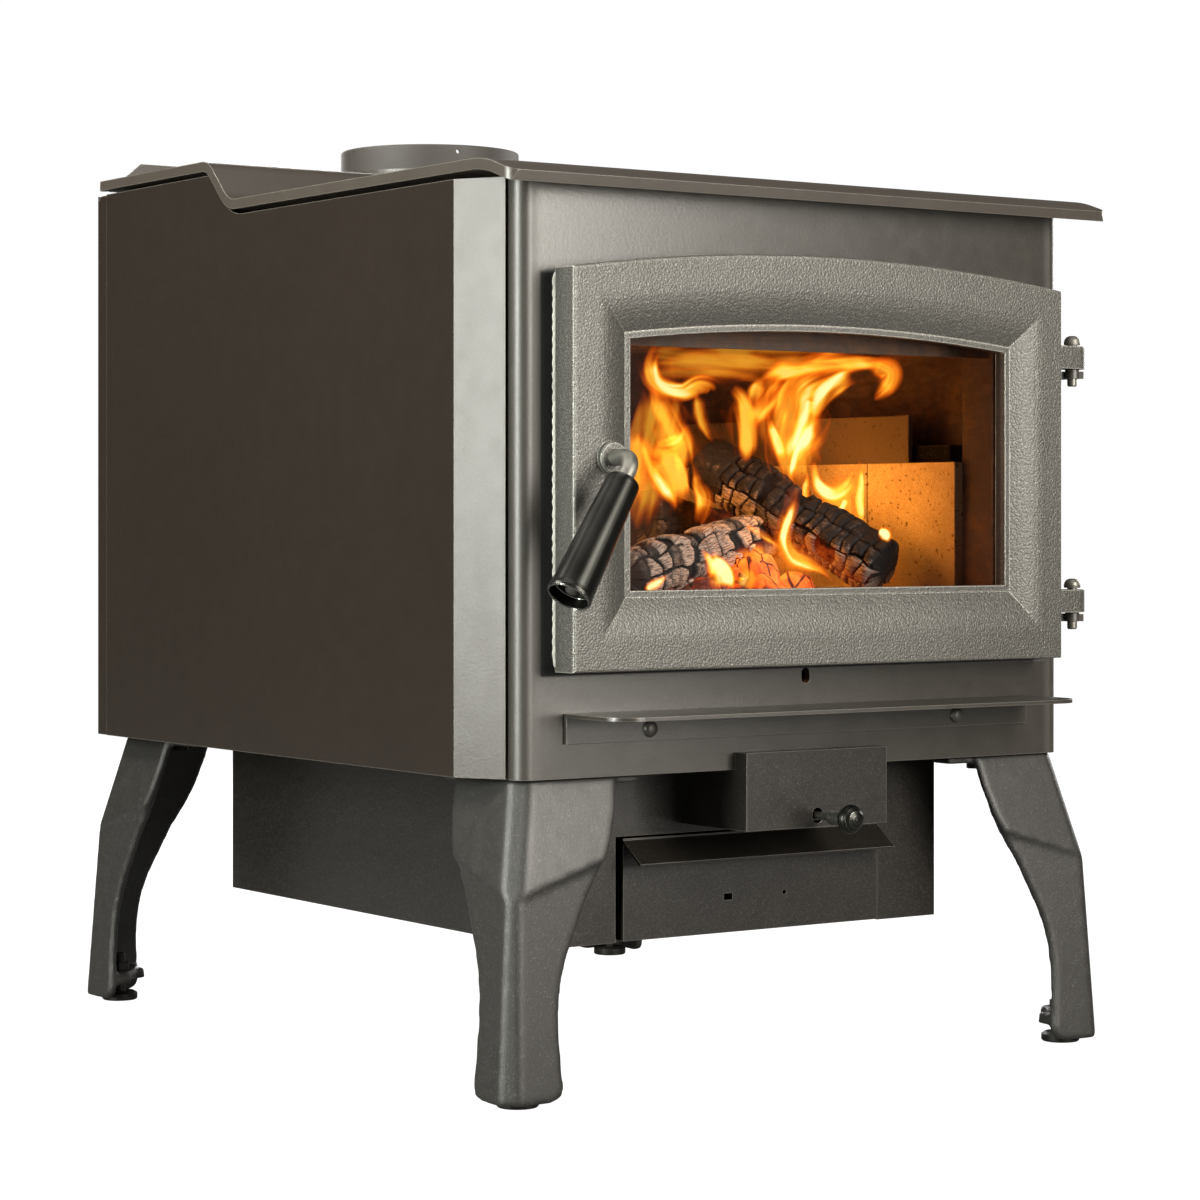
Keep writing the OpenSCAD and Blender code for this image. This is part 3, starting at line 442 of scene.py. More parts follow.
def rope_gasket():
    """The door's seal: knitted glass rope, squeezed into its groove all round the door's back."""
    inset, sag, bends = 0.0061, 0.017, 240      # edge to middle, the arched head's rise, its points
    half_width, half_depth, knot = 0.0064, 0.0034, 0.0085
    low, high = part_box("door_gasket")
    half = (high.x - low.x) / 2 - inset
    foot, crown = low.z + inset, high.z - inset
    radius = (half * half + sag * sag) / (2 * sag)
    middle_y = (low.y + high.y) / 2
    corners = [Vector((-half, middle_y, foot)), Vector((half, middle_y, foot))]
    arc = [Vector((half - 2 * half * n / bends, middle_y,
                   crown - radius + math.sqrt(radius ** 2 - (half - 2 * half * n / bends) ** 2)))
           for n in range(bends + 1)]
    loop = corners + arc
    path, travelled = [], 0.0
    for n, spot in enumerate(loop):
        following = loop[(n + 1) % len(loop)]
        steps = max(1, round((following - spot).length / 0.0009))
        path += [spot.lerp(following, k / steps) for k in range(steps)]
    sides, points, faces = 16, [], []
    for i, spot in enumerate(path):
        ahead = (path[(i + 3) % len(path)] - path[i - 3]).normalized()
        outward = Vector((ahead.z, 0.0, -ahead.x))
        travelled += (path[i] - path[i - 1]).length if i else 0.0
        for j in range(sides):
            a = 2 * math.pi * j / sides
            knit = abs(math.sin(math.pi * travelled / knot + a)) + abs(math.sin(math.pi * travelled / knot - a))
            fuzz = noise.noise(spot * 300 + Vector((0, 0, a)))
            swell = 0.90 + 0.10 * knit + 0.03 * fuzz
            points.append(spot + outward * (half_width * swell * math.cos(a))
                          + Vector((0, half_depth * min(1.0, swell) * math.sin(a), 0)))
    for i in range(len(path)):
        k = (i + 1) % len(path)
        for j in range(sides):
            m = (j + 1) % sides
            faces.append((i * sides + j, i * sides + m, k * sides + m, k * sides + j))
    rope = mesh_piece("gasket_rope", points, faces, FINISHES["rope"], body="door")
    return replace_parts(rope, "door_gasket")


rope_gasket()

# ---------------------------------------------------------------- camera
VIEW_TURN = math.radians(34.62)
EYE = Vector((-1.560, FACE - 1.980, 0.4265))
VIEW = Vector((math.sin(VIEW_TURN), math.cos(VIEW_TURN), 0.0))
SIDE = Vector((math.cos(VIEW_TURN), -math.sin(VIEW_TURN), 0.0))
FRAME = 1200.0      # the square frame's side in pixels, in which the values below and the flames are given
FOCAL = 3255.0
HORIZON = 519.5
SENSOR = 36.0

eye = bpy.data.cameras.new("eye")
eye.sensor_width = SENSOR
eye.lens = FOCAL * SENSOR / FRAME
eye.shift_y = (HORIZON - FRAME / 2) / FRAME
eye.clip_start, eye.clip_end = 0.05, 60.0
camera = bpy.data.objects.new("camera", eye)
camera.location = EYE
camera.rotation_euler = (math.radians(90.0), 0.0, -VIEW_TURN)
bpy.context.scene.collection.objects.link(camera)
bpy.context.scene.camera = camera


def sight(px, py, depth):
    """The point that the frame shows at that pixel, at a depth behind the front plate's face, in mm."""
    ray = VIEW + SIDE * ((px - FRAME / 2) / FOCAL) + Vector((0, 0, (HORIZON - py) / FOCAL))
    return EYE + ray * ((FACE + depth * MM - EYE.y) / ray.y)


# ---------------------------------------------------------------- fire
COALS_HEART = Vector((0.110, FACE + 0.160, FLOOR_TOP + 0.108))   # the hottest spot
COALS_SKIN = (0.328, 0.352)       # coals below this height are dark


def charred_wood():
    """Burnt log: char in blocks with ash on their faces, fibres along the log, a glow near the coals."""
    f = Finish("charred_wood")
    f.place = f.add("TexCoord", {}, {}, "UV")
    crack = f.attribute("crack")
    glow = f.attribute("glow")
    ash = f.attribute("ash")
    fibre = f.noise(1.0, 4.0, 0.6, at=f.stretched((110.0, 900.0, 1.0)), twist=0.3)
    blotch = f.noise(95.0, 4.0, 0.65)
    char = f.mix(fibre.step(0.35, 0.7), tone(20, 17, 16), tone(48, 40, 36))
    pale = f.mix(fibre.step(0.36, 0.62), tone(84, 68, 60), tone(172, 150, 136))
    cover = (ash + (blotch - 0.5) * 1.2 - crack * 0.9).step(0.08, 0.62)
    skin = f.mix(cover, char, pale)
    # Painted shade in the cracks between the blocks, darker than the char.
    crack_shaded = f.mix(crack.step(0.25, 0.6), skin, tone(7, 5, 4))
    heat = (glow + (blotch - 0.5) * 0.7).step(0.35, 1.0)
    hot = f.mix(heat, tone(226, 44, 8), tone(255, 140, 40))
    fire = f.mix(heat * (crack.step(0.1, 0.7) * 0.55 + 0.45), (0.0, 0.0, 0.0, 1.0), hot)
    return f.shine(Base_Color=crack_shaded, Metallic=0.0, Roughness=fibre.step(0.2, 0.8, 0.78, 0.95),
                   Emission_Color=fire, Emission_Strength=1.1,
                   Normal=f.bump(fibre * 0.7 + blotch * 0.5, 0.7, 0.0010))


def glowing_coal():
    """Embers: orange plates with dark seams, hottest at COALS_HEART, with a brown skin where they have cooled."""
    f = Finish("glowing_coal")
    heat = f.noise(16.0, 2.0, 0.5)
    seams = f.cells(46.0, "DISTANCE_TO_EDGE", at=f.stretched((1.0, 1.0, 0.6)))
    grain = f.noise(300.0, 3.0, 0.6)
    veins = f.noise(90.0, 3.0, 0.6, twist=0.6)
    away = f.add("VectorMath", {"operation": "DISTANCE"}, {0: f.place, 1: COALS_HEART}, "Value")
    skin = f.mix(grain.step(0.4, 0.65), tone(24, 15, 12), tone(84, 58, 46))
    warmth = (heat * 1.1 - 0.21 + (veins - 0.5) * 0.45 + seams.step(0.0, 0.05, -0.34, 0.0)
              + away.step(0.02, 0.14, 0.16, -0.10)) * f.axis("Z").step(*COALS_SKIN)
    hot = f.add("ValToRGB", {"stops": ((0.0, (0.0, 0.0, 0.0, 1)), (0.30, (0.10, 0.008, 0.002, 1)),
                                       (0.42, (0.75, 0.07, 0.006, 1)), (0.52, (1.0, 0.19, 0.015, 1)),
                                       (0.66, (1.0, 0.38, 0.035, 1)), (0.88, (1.0, 0.80, 0.25, 1)))},
                {0: warmth})
    return f.shine(Base_Color=skin, Metallic=0.0, Roughness=grain.step(0.2, 0.8, 0.8, 0.95),
                   Emission_Color=hot, Emission_Strength=1.15,
                   Normal=f.bump(grain + seams.step(0.0, 0.3) * 1.5, 0.6, 0.0012))


def flame_gas():
    """Flame: billows and streaks drawn out along the tongue, yellow where dense, orange and thin at the edge."""
    f = Finish("flame_gas")
    f.place = f.add("TexCoord", {}, {}, "UV")
    core = f.attribute("core")
    body = f.attribute("body")
    hotness = f.attribute("hotness")
    billow = f.noise(1.0, 1.5, 0.5, at=f.stretched((0.050, 0.017, 1.0)), twist=0.6)
    streak = f.noise(1.0, 1.5, 0.45, at=f.stretched((0.105, 0.015, 1.0)), twist=0.5)
    dense = (core * 1.05 + (billow - 0.5) * 1.5 + (streak - 0.5) * 1.3 - 0.08).step(0.0, 1.15)
    warm = f.add("ValToRGB", {"stops": ((0.0, (0.85, 0.07, 0.002, 1)), (0.28, (0.95, 0.15, 0.004, 1)),
                                        (0.52, (1.0, 0.27, 0.012, 1)), (0.74, (1.0, 0.48, 0.035, 1)),
                                        (1.0, (1.0, 0.74, 0.34, 1)))},
                 {0: dense * (hotness * 0.6 + 0.42)})
    return f.shine(Base_Color=(0.0, 0.0, 0.0, 1.0), Metallic=0.0, Roughness=1.0, Specular_IOR_Level=0.0,
                   Emission_Color=warm, Emission_Strength=3.2,
                   Alpha=(dense ** 1.15) * body * 0.48)


CHAR = charred_wood()
COAL = glowing_coal()
FLAME = flame_gas()


def chance(first, second=0.0, third=0.0, fourth=0.0):
    """A number from 0 to 1 that depends only on the keys."""
    return noise.cell(Vector((first + 0.5, second * 3.0 + fourth * 17.0 + 0.5, third + 0.5)))


def charred_log(name, start, end, radius, seed, bare, glow_side, turn, ashy, top=0.2, embers=1.0):
    """A split log burnt into rows of blocks. From bare[0] to bare[1] along it the char is still whole.

    turn rolls its squarish section, top is the share of ash left on its upper side, and embers scales its glow.
    """
    axis = (end - start).normalized()
    across = axis.cross(Vector((0, 0, 1))).normalized()
    up = across.cross(axis)
    length = (end - start).length
    rings, sides, rows = int(length / 0.0010), 170, 8
    points, faces, uvs = [], [], []
    cracks, glows, ashes = [], [], []
    shift = Vector((seed * 3.1, seed * 1.7, seed * 0.9))

    def smooth(value):
        value = max(0.0, min(1.0, value))
        return value * value * (3 - 2 * value)

    for i in range(rings + 1):
        t = i / rings
        end_round = min(1.0, min(t, 1 - t) * length / (radius * 0.22))
        shrink = 0.86 + 0.14 * math.sqrt(max(0.0, 1 - (1 - end_round) ** 2))
        for j in range(sides + 1):
            a = 2 * math.pi * j / sides
            ring = Vector((math.cos(a), math.sin(a)))
            square = (abs(math.cos(a - turn)) ** 3.4 + abs(math.sin(a - turn)) ** 3.4) ** (-1 / 3.4)
            base = across * ring.x + up * ring.y
            spot = start + axis * (t * length) + base * radius * (0.40 + 0.55 * square) * shrink
            wave = noise.noise(spot * 20 + shift)
            around = (j % sides) / sides * rows + 0.30 * noise.noise(spot * 45 - shift)
            row = math.floor(around) % rows
            along = t * length / (0.0135 + 0.0060 * chance(row, seed)) + 5 * chance(row, seed, 3.0)
            along += 0.45 * noise.noise(spot * 55 + shift)
            block = math.floor(along)
            cross_cut = min(along - block, block + 1 - along) * 16.5
            beside = around - math.floor(around)
            long_cut = min(beside, 1 - beside) * 2 * math.pi * radius / MM / rows
            wide = 1.0 + 1.3 * chance(row, block, seed)
            whole = smooth((t - bare[0]) / 0.08) * smooth((bare[1] + 0.08 - t) / 0.08)
            crack = max(smooth(1.5 - cross_cut / wide), 0.9 * smooth(1.4 - long_cut / (0.7 * wide)))
            crack *= 1 - 0.85 * whole
            puff = math.sqrt(min(1.0, cross_cut / 5.5) * min(1.0, long_cut / 5.0)) * (1 - whole)
            depth = 0.0044 * crack - 0.0012 * puff - 0.0038 * wave + 0.0008 * noise.noise(spot * 190 + shift)
            points.append(spot - base * depth)
            uvs.append((t * length, a * radius))
            cracks.append(crack)
            warm = max(0.0, base.dot(glow_side)) ** 1.6
            close = math.exp(-((spot - COALS_HEART).length / 0.075) ** 2)
            flicker = max(0.0, noise.noise(spot * 14 - shift))
            glows.append(embers * min(1.0, warm * (0.35 + 1.2 * close + 0.5 * flicker)))
            facing = top + (1 - top) * smooth(0.55 - 1.3 * base.z)
            ashes.append(ashy * facing * (1 - whole) * (0.55 + 0.45 * chance(row, block, seed, 9.0)))
    step = sides + 1
    for i in range(rings):
        for j in range(sides):
            faces.append((i * step + j, i * step + j + 1, (i + 1) * step + j + 1, (i + 1) * step + j))
    for t, first in ((0, 0), (1, rings * step)):
        centre = len(points)
        ring = [Vector(points[first + j]) for j in range(sides)]
        middle = sum(ring, Vector()) / sides
        points.append(middle + axis * (0.003 if t else -0.003))
        uvs.append((t * length, 0.0))
        cracks.append(0.3)
        glows.append(0.1)
        ashes.append(0.1)
        for j in range(sides):
            faces.append((centre, first + j, first + j + 1) if t else (centre, first + j + 1, first + j))
    return mesh_piece(name, points, faces, CHAR, uvs=uvs, weights={"crack": cracks, "glow": glows, "ash": ashes})


def tree_node(tree, kind, settings, sockets):
    """Adds a node to a geometry tree, with its settings first and then its sockets' values or links."""
    node = tree.nodes.new(kind)
    for key, value in settings.items():
        setattr(node, key, value)
    for key, value in sockets.items():
        if isinstance(value, bpy.types.NodeSocket):
            tree.links.new(value, node.inputs[key])
        else:
            node.inputs[key].default_value = value
    return node


def grown(piece, tree, name, body, **values):
    """Runs a geometry tree on a piece with the named input values, and returns the result as a plain mesh."""
    modifier = piece.modifiers.new("grow", "NODES")
    modifier.node_group = tree
    for item in tree.interface.items_tree:
        if item.item_type == "SOCKET" and item.in_out == "INPUT" and item.name in values:
            modifier[item.identifier] = values[item.name]
    bpy.context.view_layer.update()
    seen = piece.evaluated_get(bpy.context.evaluated_depsgraph_get())
    mesh = bpy.data.meshes.new_from_object(seen)
    piece.modifiers.remove(modifier)
    mesh.name = name
    made = bpy.data.objects.new(name, mesh)
    bpy.context.scene.collection.objects.link(made)
    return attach(made, body)


def coal_tree():
    """Scatters lumps of coal over a surface: dented, turned and sized at random."""
    tree = bpy.data.node_groups.new("coals", "GeometryNodeTree")
    face = tree.interface
    face.new_socket("Geometry", in_out="OUTPUT", socket_type="NodeSocketGeometry")
    face.new_socket("Bed", in_out="INPUT", socket_type="NodeSocketGeometry")
    face.new_socket("Per square metre", in_out="INPUT", socket_type="NodeSocketFloat")
    face.new_socket("Lump size", in_out="INPUT", socket_type="NodeSocketFloat")
    face.new_socket("Seed", in_out="INPUT", socket_type="NodeSocketInt")
    inside = tree.nodes.new("NodeGroupInput").outputs
    spread = tree_node(tree, "GeometryNodeDistributePointsOnFaces", {},
                       {"Mesh": inside["Bed"], "Density": inside["Per square metre"], "Seed": inside["Seed"]})
    ball = tree_node(tree, "GeometryNodeMeshIcoSphere", {}, {"Radius": inside["Lump size"], "Subdivisions": 2})
    turn = tree_node(tree, "FunctionNodeRandomValue", {"data_type": "FLOAT_VECTOR"},
                     {0: (0.0, 0.0, 0.0), 1: (6.28, 6.28, 6.28), "Seed": inside["Seed"]})
    size = tree_node(tree, "FunctionNodeRandomValue", {"data_type": "FLOAT_VECTOR"},
                     {0: (0.7, 0.6, 0.35), 1: (1.7, 1.3, 0.8), "Seed": inside["Seed"]})
    placed = tree_node(tree, "GeometryNodeInstanceOnPoints", {},
                       {"Points": spread.outputs["Points"], "Instance": ball.outputs["Mesh"],
                        "Rotation": turn.outputs[0], "Scale": size.outputs[0]})
    real = tree_node(tree, "GeometryNodeRealizeInstances", {}, {"Geometry": placed.outputs["Instances"]})
    where = tree_node(tree, "GeometryNodeInputPosition", {}, {})
    dents = tree_node(tree, "ShaderNodeTexVoronoi", {"feature": "F1"},
                      {"Vector": where.outputs[0], "Scale": 48.0})
    middle = tree_node(tree, "ShaderNodeVectorMath", {"operation": "SUBTRACT"},
                       {0: dents.outputs["Color"], 1: (0.5, 0.5, 0.5)})
    push = tree_node(tree, "ShaderNodeVectorMath", {"operation": "SCALE"}, {0: middle.outputs[0], "Scale": 0.006})
    dented = tree_node(tree, "GeometryNodeSetPosition", {},
                       {"Geometry": real.outputs[0], "Offset": push.outputs[0]})
    coated = tree_node(tree, "GeometryNodeSetMaterial", {}, {"Geometry": dented.outputs[0]})
    coated.inputs["Material"].default_value = COAL
    out = tree.nodes.new("NodeGroupOutput")
    tree.links.new(coated.outputs[0], out.inputs[0])
    return tree


def fire_bed():
    """The mound of ash that the coals lie on, filling the brick floor."""
    across, along = 90, 110
    low_x, high_x, low_y, high_y = -0.196, 0.196, FACE + 0.032, FACE + 0.56
    points, faces = [], []
    for i in range(across + 1):
        for j in range(along + 1):
            u, v = i / across, j / along
            spot = Vector((low_x + (high_x - low_x) * u, low_y + (high_y - low_y) * v, 0.0))
            rise = 0.090 * math.exp(-((u - 0.5) / 0.40) ** 4) * math.exp(-((v - 0.38) / 0.36) ** 4)
            rise += 0.022 * math.exp(-((spot.x - COALS_HEART.x) / 0.065) ** 2
                                     - ((spot.y - COALS_HEART.y - 0.015) / 0.060) ** 2)
            lumps = 0.006 * noise.noise(spot * 30) + 0.004 * noise.noise(spot * 75)
            border = min(u, 1 - u, 2.5 * v, 1 - v)
            spot.z = FLOOR_TOP + 0.0004 + (rise + 0.004 + lumps) * min(1.0, border * 16)
            spot.z = max(spot.z, FLOOR_TOP + 0.0004)
            points.append(spot)
    for i in range(across):
        for j in range(along):
            a = i * (along + 1) + j
            faces.append((a, a + along + 1, a + along + 2, a + 1))
    top = len(points)
    rim = [i * (along + 1) for i in range(across + 1)] + [across * (along + 1) + j for j in range(1, along + 1)]
    rim += [i * (along + 1) + along for i in range(across - 1, -1, -1)] + [j for j in range(along - 1, 0, -1)]
    for index in rim:
        low = points[index].copy()
        low.z = FLOOR_TOP + 0.0001
        points.append(low)
    for n, index in enumerate(rim):
        m = (n + 1) % len(rim)
        faces.append((index, top + n, top + m, rim[m]))
    faces.append(tuple(reversed(range(top, top + len(rim)))))
    return mesh_piece("ember_bed", points, faces, COAL)


bed = fire_bed()
coals = grown(bed, coal_tree(), "coals", "stove",
              **{"Per square metre": 1100.0, "Lump size": 0.0155, "Seed": 7})
for polygon in coals.data.polygons:
    polygon.use_smooth = True

charred_log("log_long", sight(884, 570, 112), sight(704, 462, 275), 0.0235, 1.0, (0.80, 1.0),
            Vector((-0.5, -0.5, -0.7)).normalized(), 0.55, 1.15, 0.1, 0.6)
charred_log("log_short", sight(622, 578, 105), sight(768, 534, 236), 0.0220, 4.0, (1.2, 1.3),
            Vector((0.7, -0.2, -0.6)).normalized(), 0.2, 1.5, 0.75)
charred_log("log_back", sight(640, 520, 330), sight(800, 560, 360), 0.026, 7.0, (0.0, 0.5),
            Vector((0.0, -0.6, 0.5)).normalized(), 0.4, 0.5)


def flame(name, depth, spine, body=1.0, heat=1.0, lean=0.0):
    """A tongue of flame: a thin sheet along a spine of (pixel x, pixel y, half width in pixels).

    depth is behind the front plate's face, and lean takes the tip further back, or forwards if negative, in mm.
    """
    def along(t, k):
        """Catmull-Rom value of the spine's k-th number at t from 0 to 1."""
        span = t * (len(spine) - 1)
        i = min(int(span), len(spine) - 2)
        s = span - i
        p = [spine[max(0, min(len(spine) - 1, i + d))][k] for d in (-1, 0, 1, 2)]
        return 0.5 * (2 * p[1] + (p[2] - p[0]) * s + (2 * p[0] - 5 * p[1] + 4 * p[2] - p[3]) * s * s
                      + (3 * p[1] - p[0] - 3 * p[2] + p[3]) * s ** 3)

    rows, columns = 90, 20
    points, faces, core, uvs = [], [], [], []
    offset = sum(ord(letter) for letter in name) * 13.0
    travelled, peak = 0.0, 0.36 * math.sin(offset)
    for i in range(rows + 1):
        t = i / rows
        x, y, half = along(t, 0), along(t, 1), max(0.4, along(t, 2)) * 1.85
        if i:
            travelled += math.hypot(x - last[0], y - last[1])
        last = (x, y)
        dx = along(min(1, t + 0.02), 0) - along(max(0, t - 0.02), 0)
        dy = along(min(1, t + 0.02), 1) - along(max(0, t - 0.02), 1)
        size = math.hypot(dx, dy) or 1.0
        for j in range(columns + 1):
            s = 2 * j / columns - 1
            cup = 14.0 * (1 - s * s) * min(1.0, half / 12.0)
            points.append(sight(x - dy / size * half * s, y + dx / size * half * s, depth + lean * t - cup))
            ridge = (1 + s) / (1 + peak) if s < peak else (1 - s) / (1 - peak)
            core.append(math.sin(ridge * math.pi / 2) ** 1.5 * min(1.0, 5 * t) * min(1.0, 2.8 * (1 - t)))
            uvs.append((half * s + offset, travelled + offset * 3))
    for i in range(rows):
        for j in range(columns):
            a = i * (columns + 1) + j
            faces.append((a, a + 1, a + columns + 2, a + columns + 1))
    count = len(points)
    return mesh_piece(name, points, faces, FLAME, uvs=uvs,
                      weights={"core": core, "body": [body] * count, "hotness": [heat] * count})


flame("flame_left", 190, ((658, 344, 6), (650, 363, 6), (653, 381, 8), (665, 391, 9), (683, 393, 8),
                          (699, 385, 8), (711, 387, 6), (713, 391, 2)), 1.0, 0.85)
flame("flame_left_sheet", 205, ((655, 383, 8), (663, 405, 13), (673, 425, 15), (683, 445, 13), (686, 465, 11),
                                (688, 486, 7)), 0.62, 0.5)
flame("flame_left_limb", 200, ((699, 391, 4), (702, 413, 5), (710, 433, 4), (719, 445, 2)), 0.6, 0.5)
flame("flame_left_low", 140, ((642, 432, 2), (644, 449, 4), (651, 469, 5), (663, 489, 6), (673, 503, 4),
                              (674, 518, 1)), 1.0, 1.0)
flame("flame_left_cup", 165, ((645, 441, 6), (657, 449, 10), (671, 449, 12), (683, 443, 10), (690, 429, 5),
                              (692, 420, 2)), 0.9, 0.62)
flame("flame_left_skirt", 170, ((655, 453, 13), (668, 472, 15), (674, 490, 11), (676, 508, 4)), 0.75, 0.55)
flame("flame_left_haze", 260, ((638, 430, 6), (637, 455, 12), (637, 480, 14), (640, 506, 12)), 0.7, 0.5)
flame("flame_left_thin", 150, ((695, 460, 2), (698, 483, 4), (704, 497, 6), (702, 511, 5),
                               (698, 523, 2)), 0.9, 0.65)
flame("flame_middle_low", 210, ((745, 465, 4), (746, 441, 8), (743, 419, 11), (739, 401, 11),
                                (730, 389, 4)), 0.8, 0.55)
flame("flame_middle", 200, ((745, 427, 7), (757, 409, 9), (769, 397, 8), (779, 385, 6),
                            (784, 374, 2)), 0.85, 0.62)
flame("flame_middle_tip", 205, ((752, 408, 4), (757, 392, 6), (763, 378, 2)), 0.85, 0.7)
flame("flame_main", 200, ((794, 490, 4), (789, 469, 10), (785, 449, 13), (791, 429, 15), (795, 411, 16),
                          (797, 395, 15), (809, 383, 11), (827, 375, 9), (847, 368, 7),
                          (866, 363, 3)), 1.0, 0.95, -45)
flame("flame_main_left", 195, ((782, 462, 5), (777, 445, 6), (771, 429, 4), (767, 412, 2)), 1.0, 0.85)
flame("flame_main_lobe", 185, ((794, 486, 3), (796, 469, 5), (801, 453, 7), (811, 437, 10), (819, 421, 8),
                               (822, 405, 2)), 1.0, 1.0)
flame("flame_main_band", 190, ((806, 436, 5), (815, 413, 7), (825, 395, 9), (841, 381, 7), (857, 373, 5),
                               (868, 374, 2)), 1.0, 0.9, -40)
flame("flame_top_sheet", 215, ((762, 378, 6), (780, 370, 9), (800, 365, 10), (825, 362, 9), (861, 361, 7),
                               (888, 360, 5), (914, 357, 2)), 0.9, 0.62, -115)
flame("flame_top_hook", 135, ((862, 364, 5), (878, 366, 8), (890, 372, 10), (888, 384, 8), (880, 393, 5),
                              (873, 398, 2)), 0.95, 0.6)
# These two faint sheets are painted light: an orange glow over the tubes for the fire's light on them.
flame("flame_tubes", 120, ((634, 354, 6), (670, 356, 8), (720, 361, 8), (770, 365, 6),
                           (800, 368, 3)), 0.24, 0.4)
flame("flame_tubes_low", 124, ((634, 374, 5), (680, 374, 6), (730, 377, 5), (770, 380, 3)), 0.25, 0.3)
flame("veil_left", 235, ((640, 530, 8), (648, 486, 20), (660, 442, 24), (668, 400, 18),
                         (658, 356, 8)), 0.42, 0.45)
flame("veil_middle", 240, ((798, 505, 6), (788, 455, 20), (783, 415, 25), (800, 378, 20),
                           (850, 361, 6)), 0.5, 0.4, -30)
flame("veil_top", 230, ((640, 372, 7), (700, 366, 12), (760, 365, 14), (820, 363, 12),
                        (890, 361, 4)), 0.3, 0.4, -90)
flame("veil_right", 210, ((852, 548, 4), (846, 515, 12), (842, 490, 14), (846, 462, 6)), 0.45, 0.4)
flame("flame_right_cup", 190, ((813, 461, 2), (816, 481, 4), (825, 493, 7), (837, 495, 7), (851, 485, 7),
                               (859, 469, 4), (863, 454, 1)), 1.0, 0.9)
flame("flame_right", 192, ((862, 458, 3), (861, 481, 6), (859, 501, 7), (863, 521, 5),
                           (872, 539, 2)), 0.9, 0.75)
flame("flame_right_small", 180, ((847, 497, 3), (842, 511, 3), (838, 521, 1)), 0.95, 0.85)
flame("flame_right_left", 195, ((808, 503, 3), (806, 489, 3), (809, 475, 1)), 0.9, 0.7)
flame("flame_curl_halo", 98, ((795, 488, 3), (792, 509, 7), (786, 527, 7), (784, 543, 9), (791, 559, 11),
                              (805, 566, 8), (821, 571, 6), (833, 580, 4), (844, 587, 1)), 0.55, 0.5)
flame("flame_curl", 94, ((795, 492, 2), (792, 509, 4), (786, 527, 4), (784, 543, 6), (791, 559, 7),
                         (805, 566, 4), (821, 571, 3), (833, 580, 2), (843, 586, 1)), 1.0, 1.25)
flame("flame_under_log", 100, ((743, 524, 2), (763, 535, 3), (783, 548, 2)), 0.9, 0.9)
flame("flame_log_end", 108, ((878, 531, 2), (884, 535, 5), (888, 543, 2)), 1.0, 1.2)
flame("flame_bed_left", 80, ((645, 592, 3), (657, 585, 5), (668, 575, 1)), 1.0, 0.95)
flame("flame_bed_middle", 84, ((724, 590, 11), (722, 575, 10), (714, 562, 6), (710, 551, 2)), 0.95, 0.9)
flame("flame_bed_lick", 82, ((711, 577, 4), (711, 563, 4), (700, 548, 1)), 0.85, 0.8)
flame("flame_bed_glow", 86, ((745, 592, 9), (752, 578, 10), (742, 564, 4)), 0.5, 0.6)


def warm_lamp(name, place, power, colour, size=0.06):
    """The fire's light on the bricks, from a lamp that isn't seen itself."""
    lamp = bpy.data.lights.new(name, "POINT")
    lamp.energy = power
    lamp.color = colour
    lamp.shadow_soft_size = size
    made = bpy.data.objects.new(name, lamp)
    made.location = place
    made.visible_camera = made.visible_glossy = made.visible_transmission = False
    bpy.context.scene.collection.objects.link(made)


warm_lamp("fire_light", Vector((-0.03, FACE + 0.24, 0.50)), 1.7, (1.0, 0.42, 0.08))
warm_lamp("fire_light_right", Vector((0.134, FACE + 0.185, 0.430)), 2.2, (1.0, 0.42, 0.06), 0.04)


# ---------------------------------------------------------------- studio
def soft_box(name, place, target, width, height, power, colour):
    light = bpy.data.lights.new(name, "AREA")
    light.shape = "RECTANGLE"
    light.size, light.size_y = width, height
    light.energy = power
    light.color = colour
    made = bpy.data.objects.new(name, light)
    made.location = place
    made.rotation_euler = (Vector(target) - Vector(place)).to_track_quat("-Z", "Y").to_euler()
    bpy.context.scene.collection.objects.link(made)


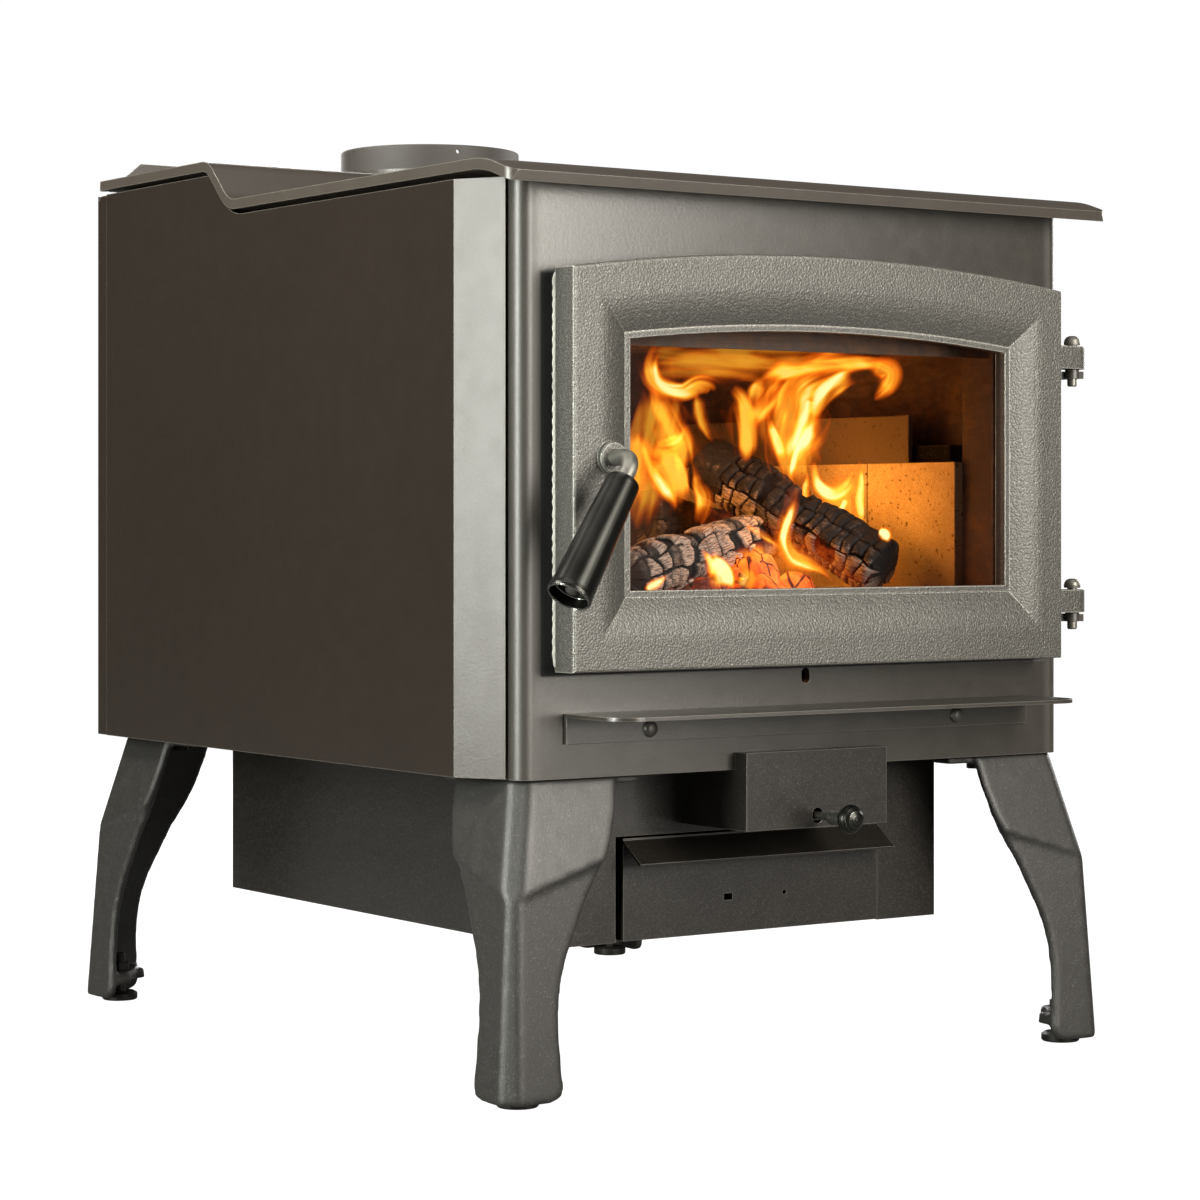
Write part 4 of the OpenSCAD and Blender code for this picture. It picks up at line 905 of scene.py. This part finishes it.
soft_box("left_box", (-2.5, FACE - 0.10, 0.80), (-0.28, FACE, 0.45), 0.6, 1.4, 96.0, (0.96, 1.0, 0.94))
soft_box("front_box", (0.42, FACE - 1.80, 1.0), (-0.1, FACE, 0.5), 0.9, 1.5, 71.0, (1.0, 0.960, 0.885))
soft_box("top_box", (-0.3, -0.3, 2.6), (0.0, 0.0, 0.7), 1.6, 1.6, 23.0, (1.0, 0.97, 0.93))
soft_box("rim_box", (-1.7, 0.75, 2.0), (-0.15, 0.15, 0.74), 0.8, 0.8, 50.0, (1.0, 0.95, 0.89))
soft_box("back_box", (0.7, 2.7, 1.35), (0.0, 0.3, 0.45), 1.3, 1.3, 60.0, (1.0, 0.98, 0.95))
soft_box("right_box", (2.7, 0.5, 1.2), (0.3, 0.0, 0.45), 1.0, 1.3, 42.0, (1.0, 0.98, 0.95))


def seen_and_lit(tree, shader, seen, lit):
    """Gives a stage shader one strength for what the camera shows and another for the light that it adds."""
    path = tree.nodes.new("ShaderNodeLightPath")
    strength = tree.nodes.new("ShaderNodeMapRange")
    strength.inputs["To Min"].default_value = lit
    strength.inputs["To Max"].default_value = seen
    tree.links.new(path.outputs["Is Camera Ray"], strength.inputs["Value"])
    tree.links.new(strength.outputs["Result"], shader.inputs["Strength"])


world = bpy.data.worlds.new("studio")
bpy.context.scene.world = world
world.use_nodes = True
backdrop = world.node_tree.nodes["Background"]
backdrop.inputs["Color"].default_value = (1.0, 1.0, 1.0, 1.0)
seen_and_lit(world.node_tree, backdrop, 1.02, 0.045)

floor_finish = Finish("pale_floor")
floor_cloud = floor_finish.noise(0.8, 2.0, 0.5)
paper = floor_finish.add("BsdfDiffuse", {}, {"Color": floor_finish.mix(floor_cloud, (0.15, 0.15, 0.15, 1),
                                                                      (0.17, 0.17, 0.17, 1))})
far = floor_finish.add("VectorMath", {"operation": "LENGTH"}, {0: floor_finish.place}, "Value")
glow = floor_finish.nodes.new("ShaderNodeEmission")
floor_finish.links.new(floor_finish.mix(far.step(0.6, 1.8), (0.95, 0.95, 0.95, 1), (1.0, 1.0, 1.0, 1)).socket,
                       glow.inputs["Color"])
seen_and_lit(floor_finish.material.node_tree, glow, 1.02, 0.04)
both = floor_finish.nodes.new("ShaderNodeAddShader")
floor_finish.links.new(paper.socket, both.inputs[0])
floor_finish.links.new(glow.outputs[0], both.inputs[1])
floor_finish.links.new(both.outputs[0], floor_finish.output.inputs["Surface"])
floor = mesh_piece("pale_floor", [(-9, -9, 0), (9, -9, 0), (9, 9, 0), (-9, 9, 0)], [(0, 1, 2, 3)],
                   floor_finish.material, body=None, smooth=False)

bpy.context.scene.view_settings.view_transform = "Standard"
bpy.context.scene.view_settings.look = "None"
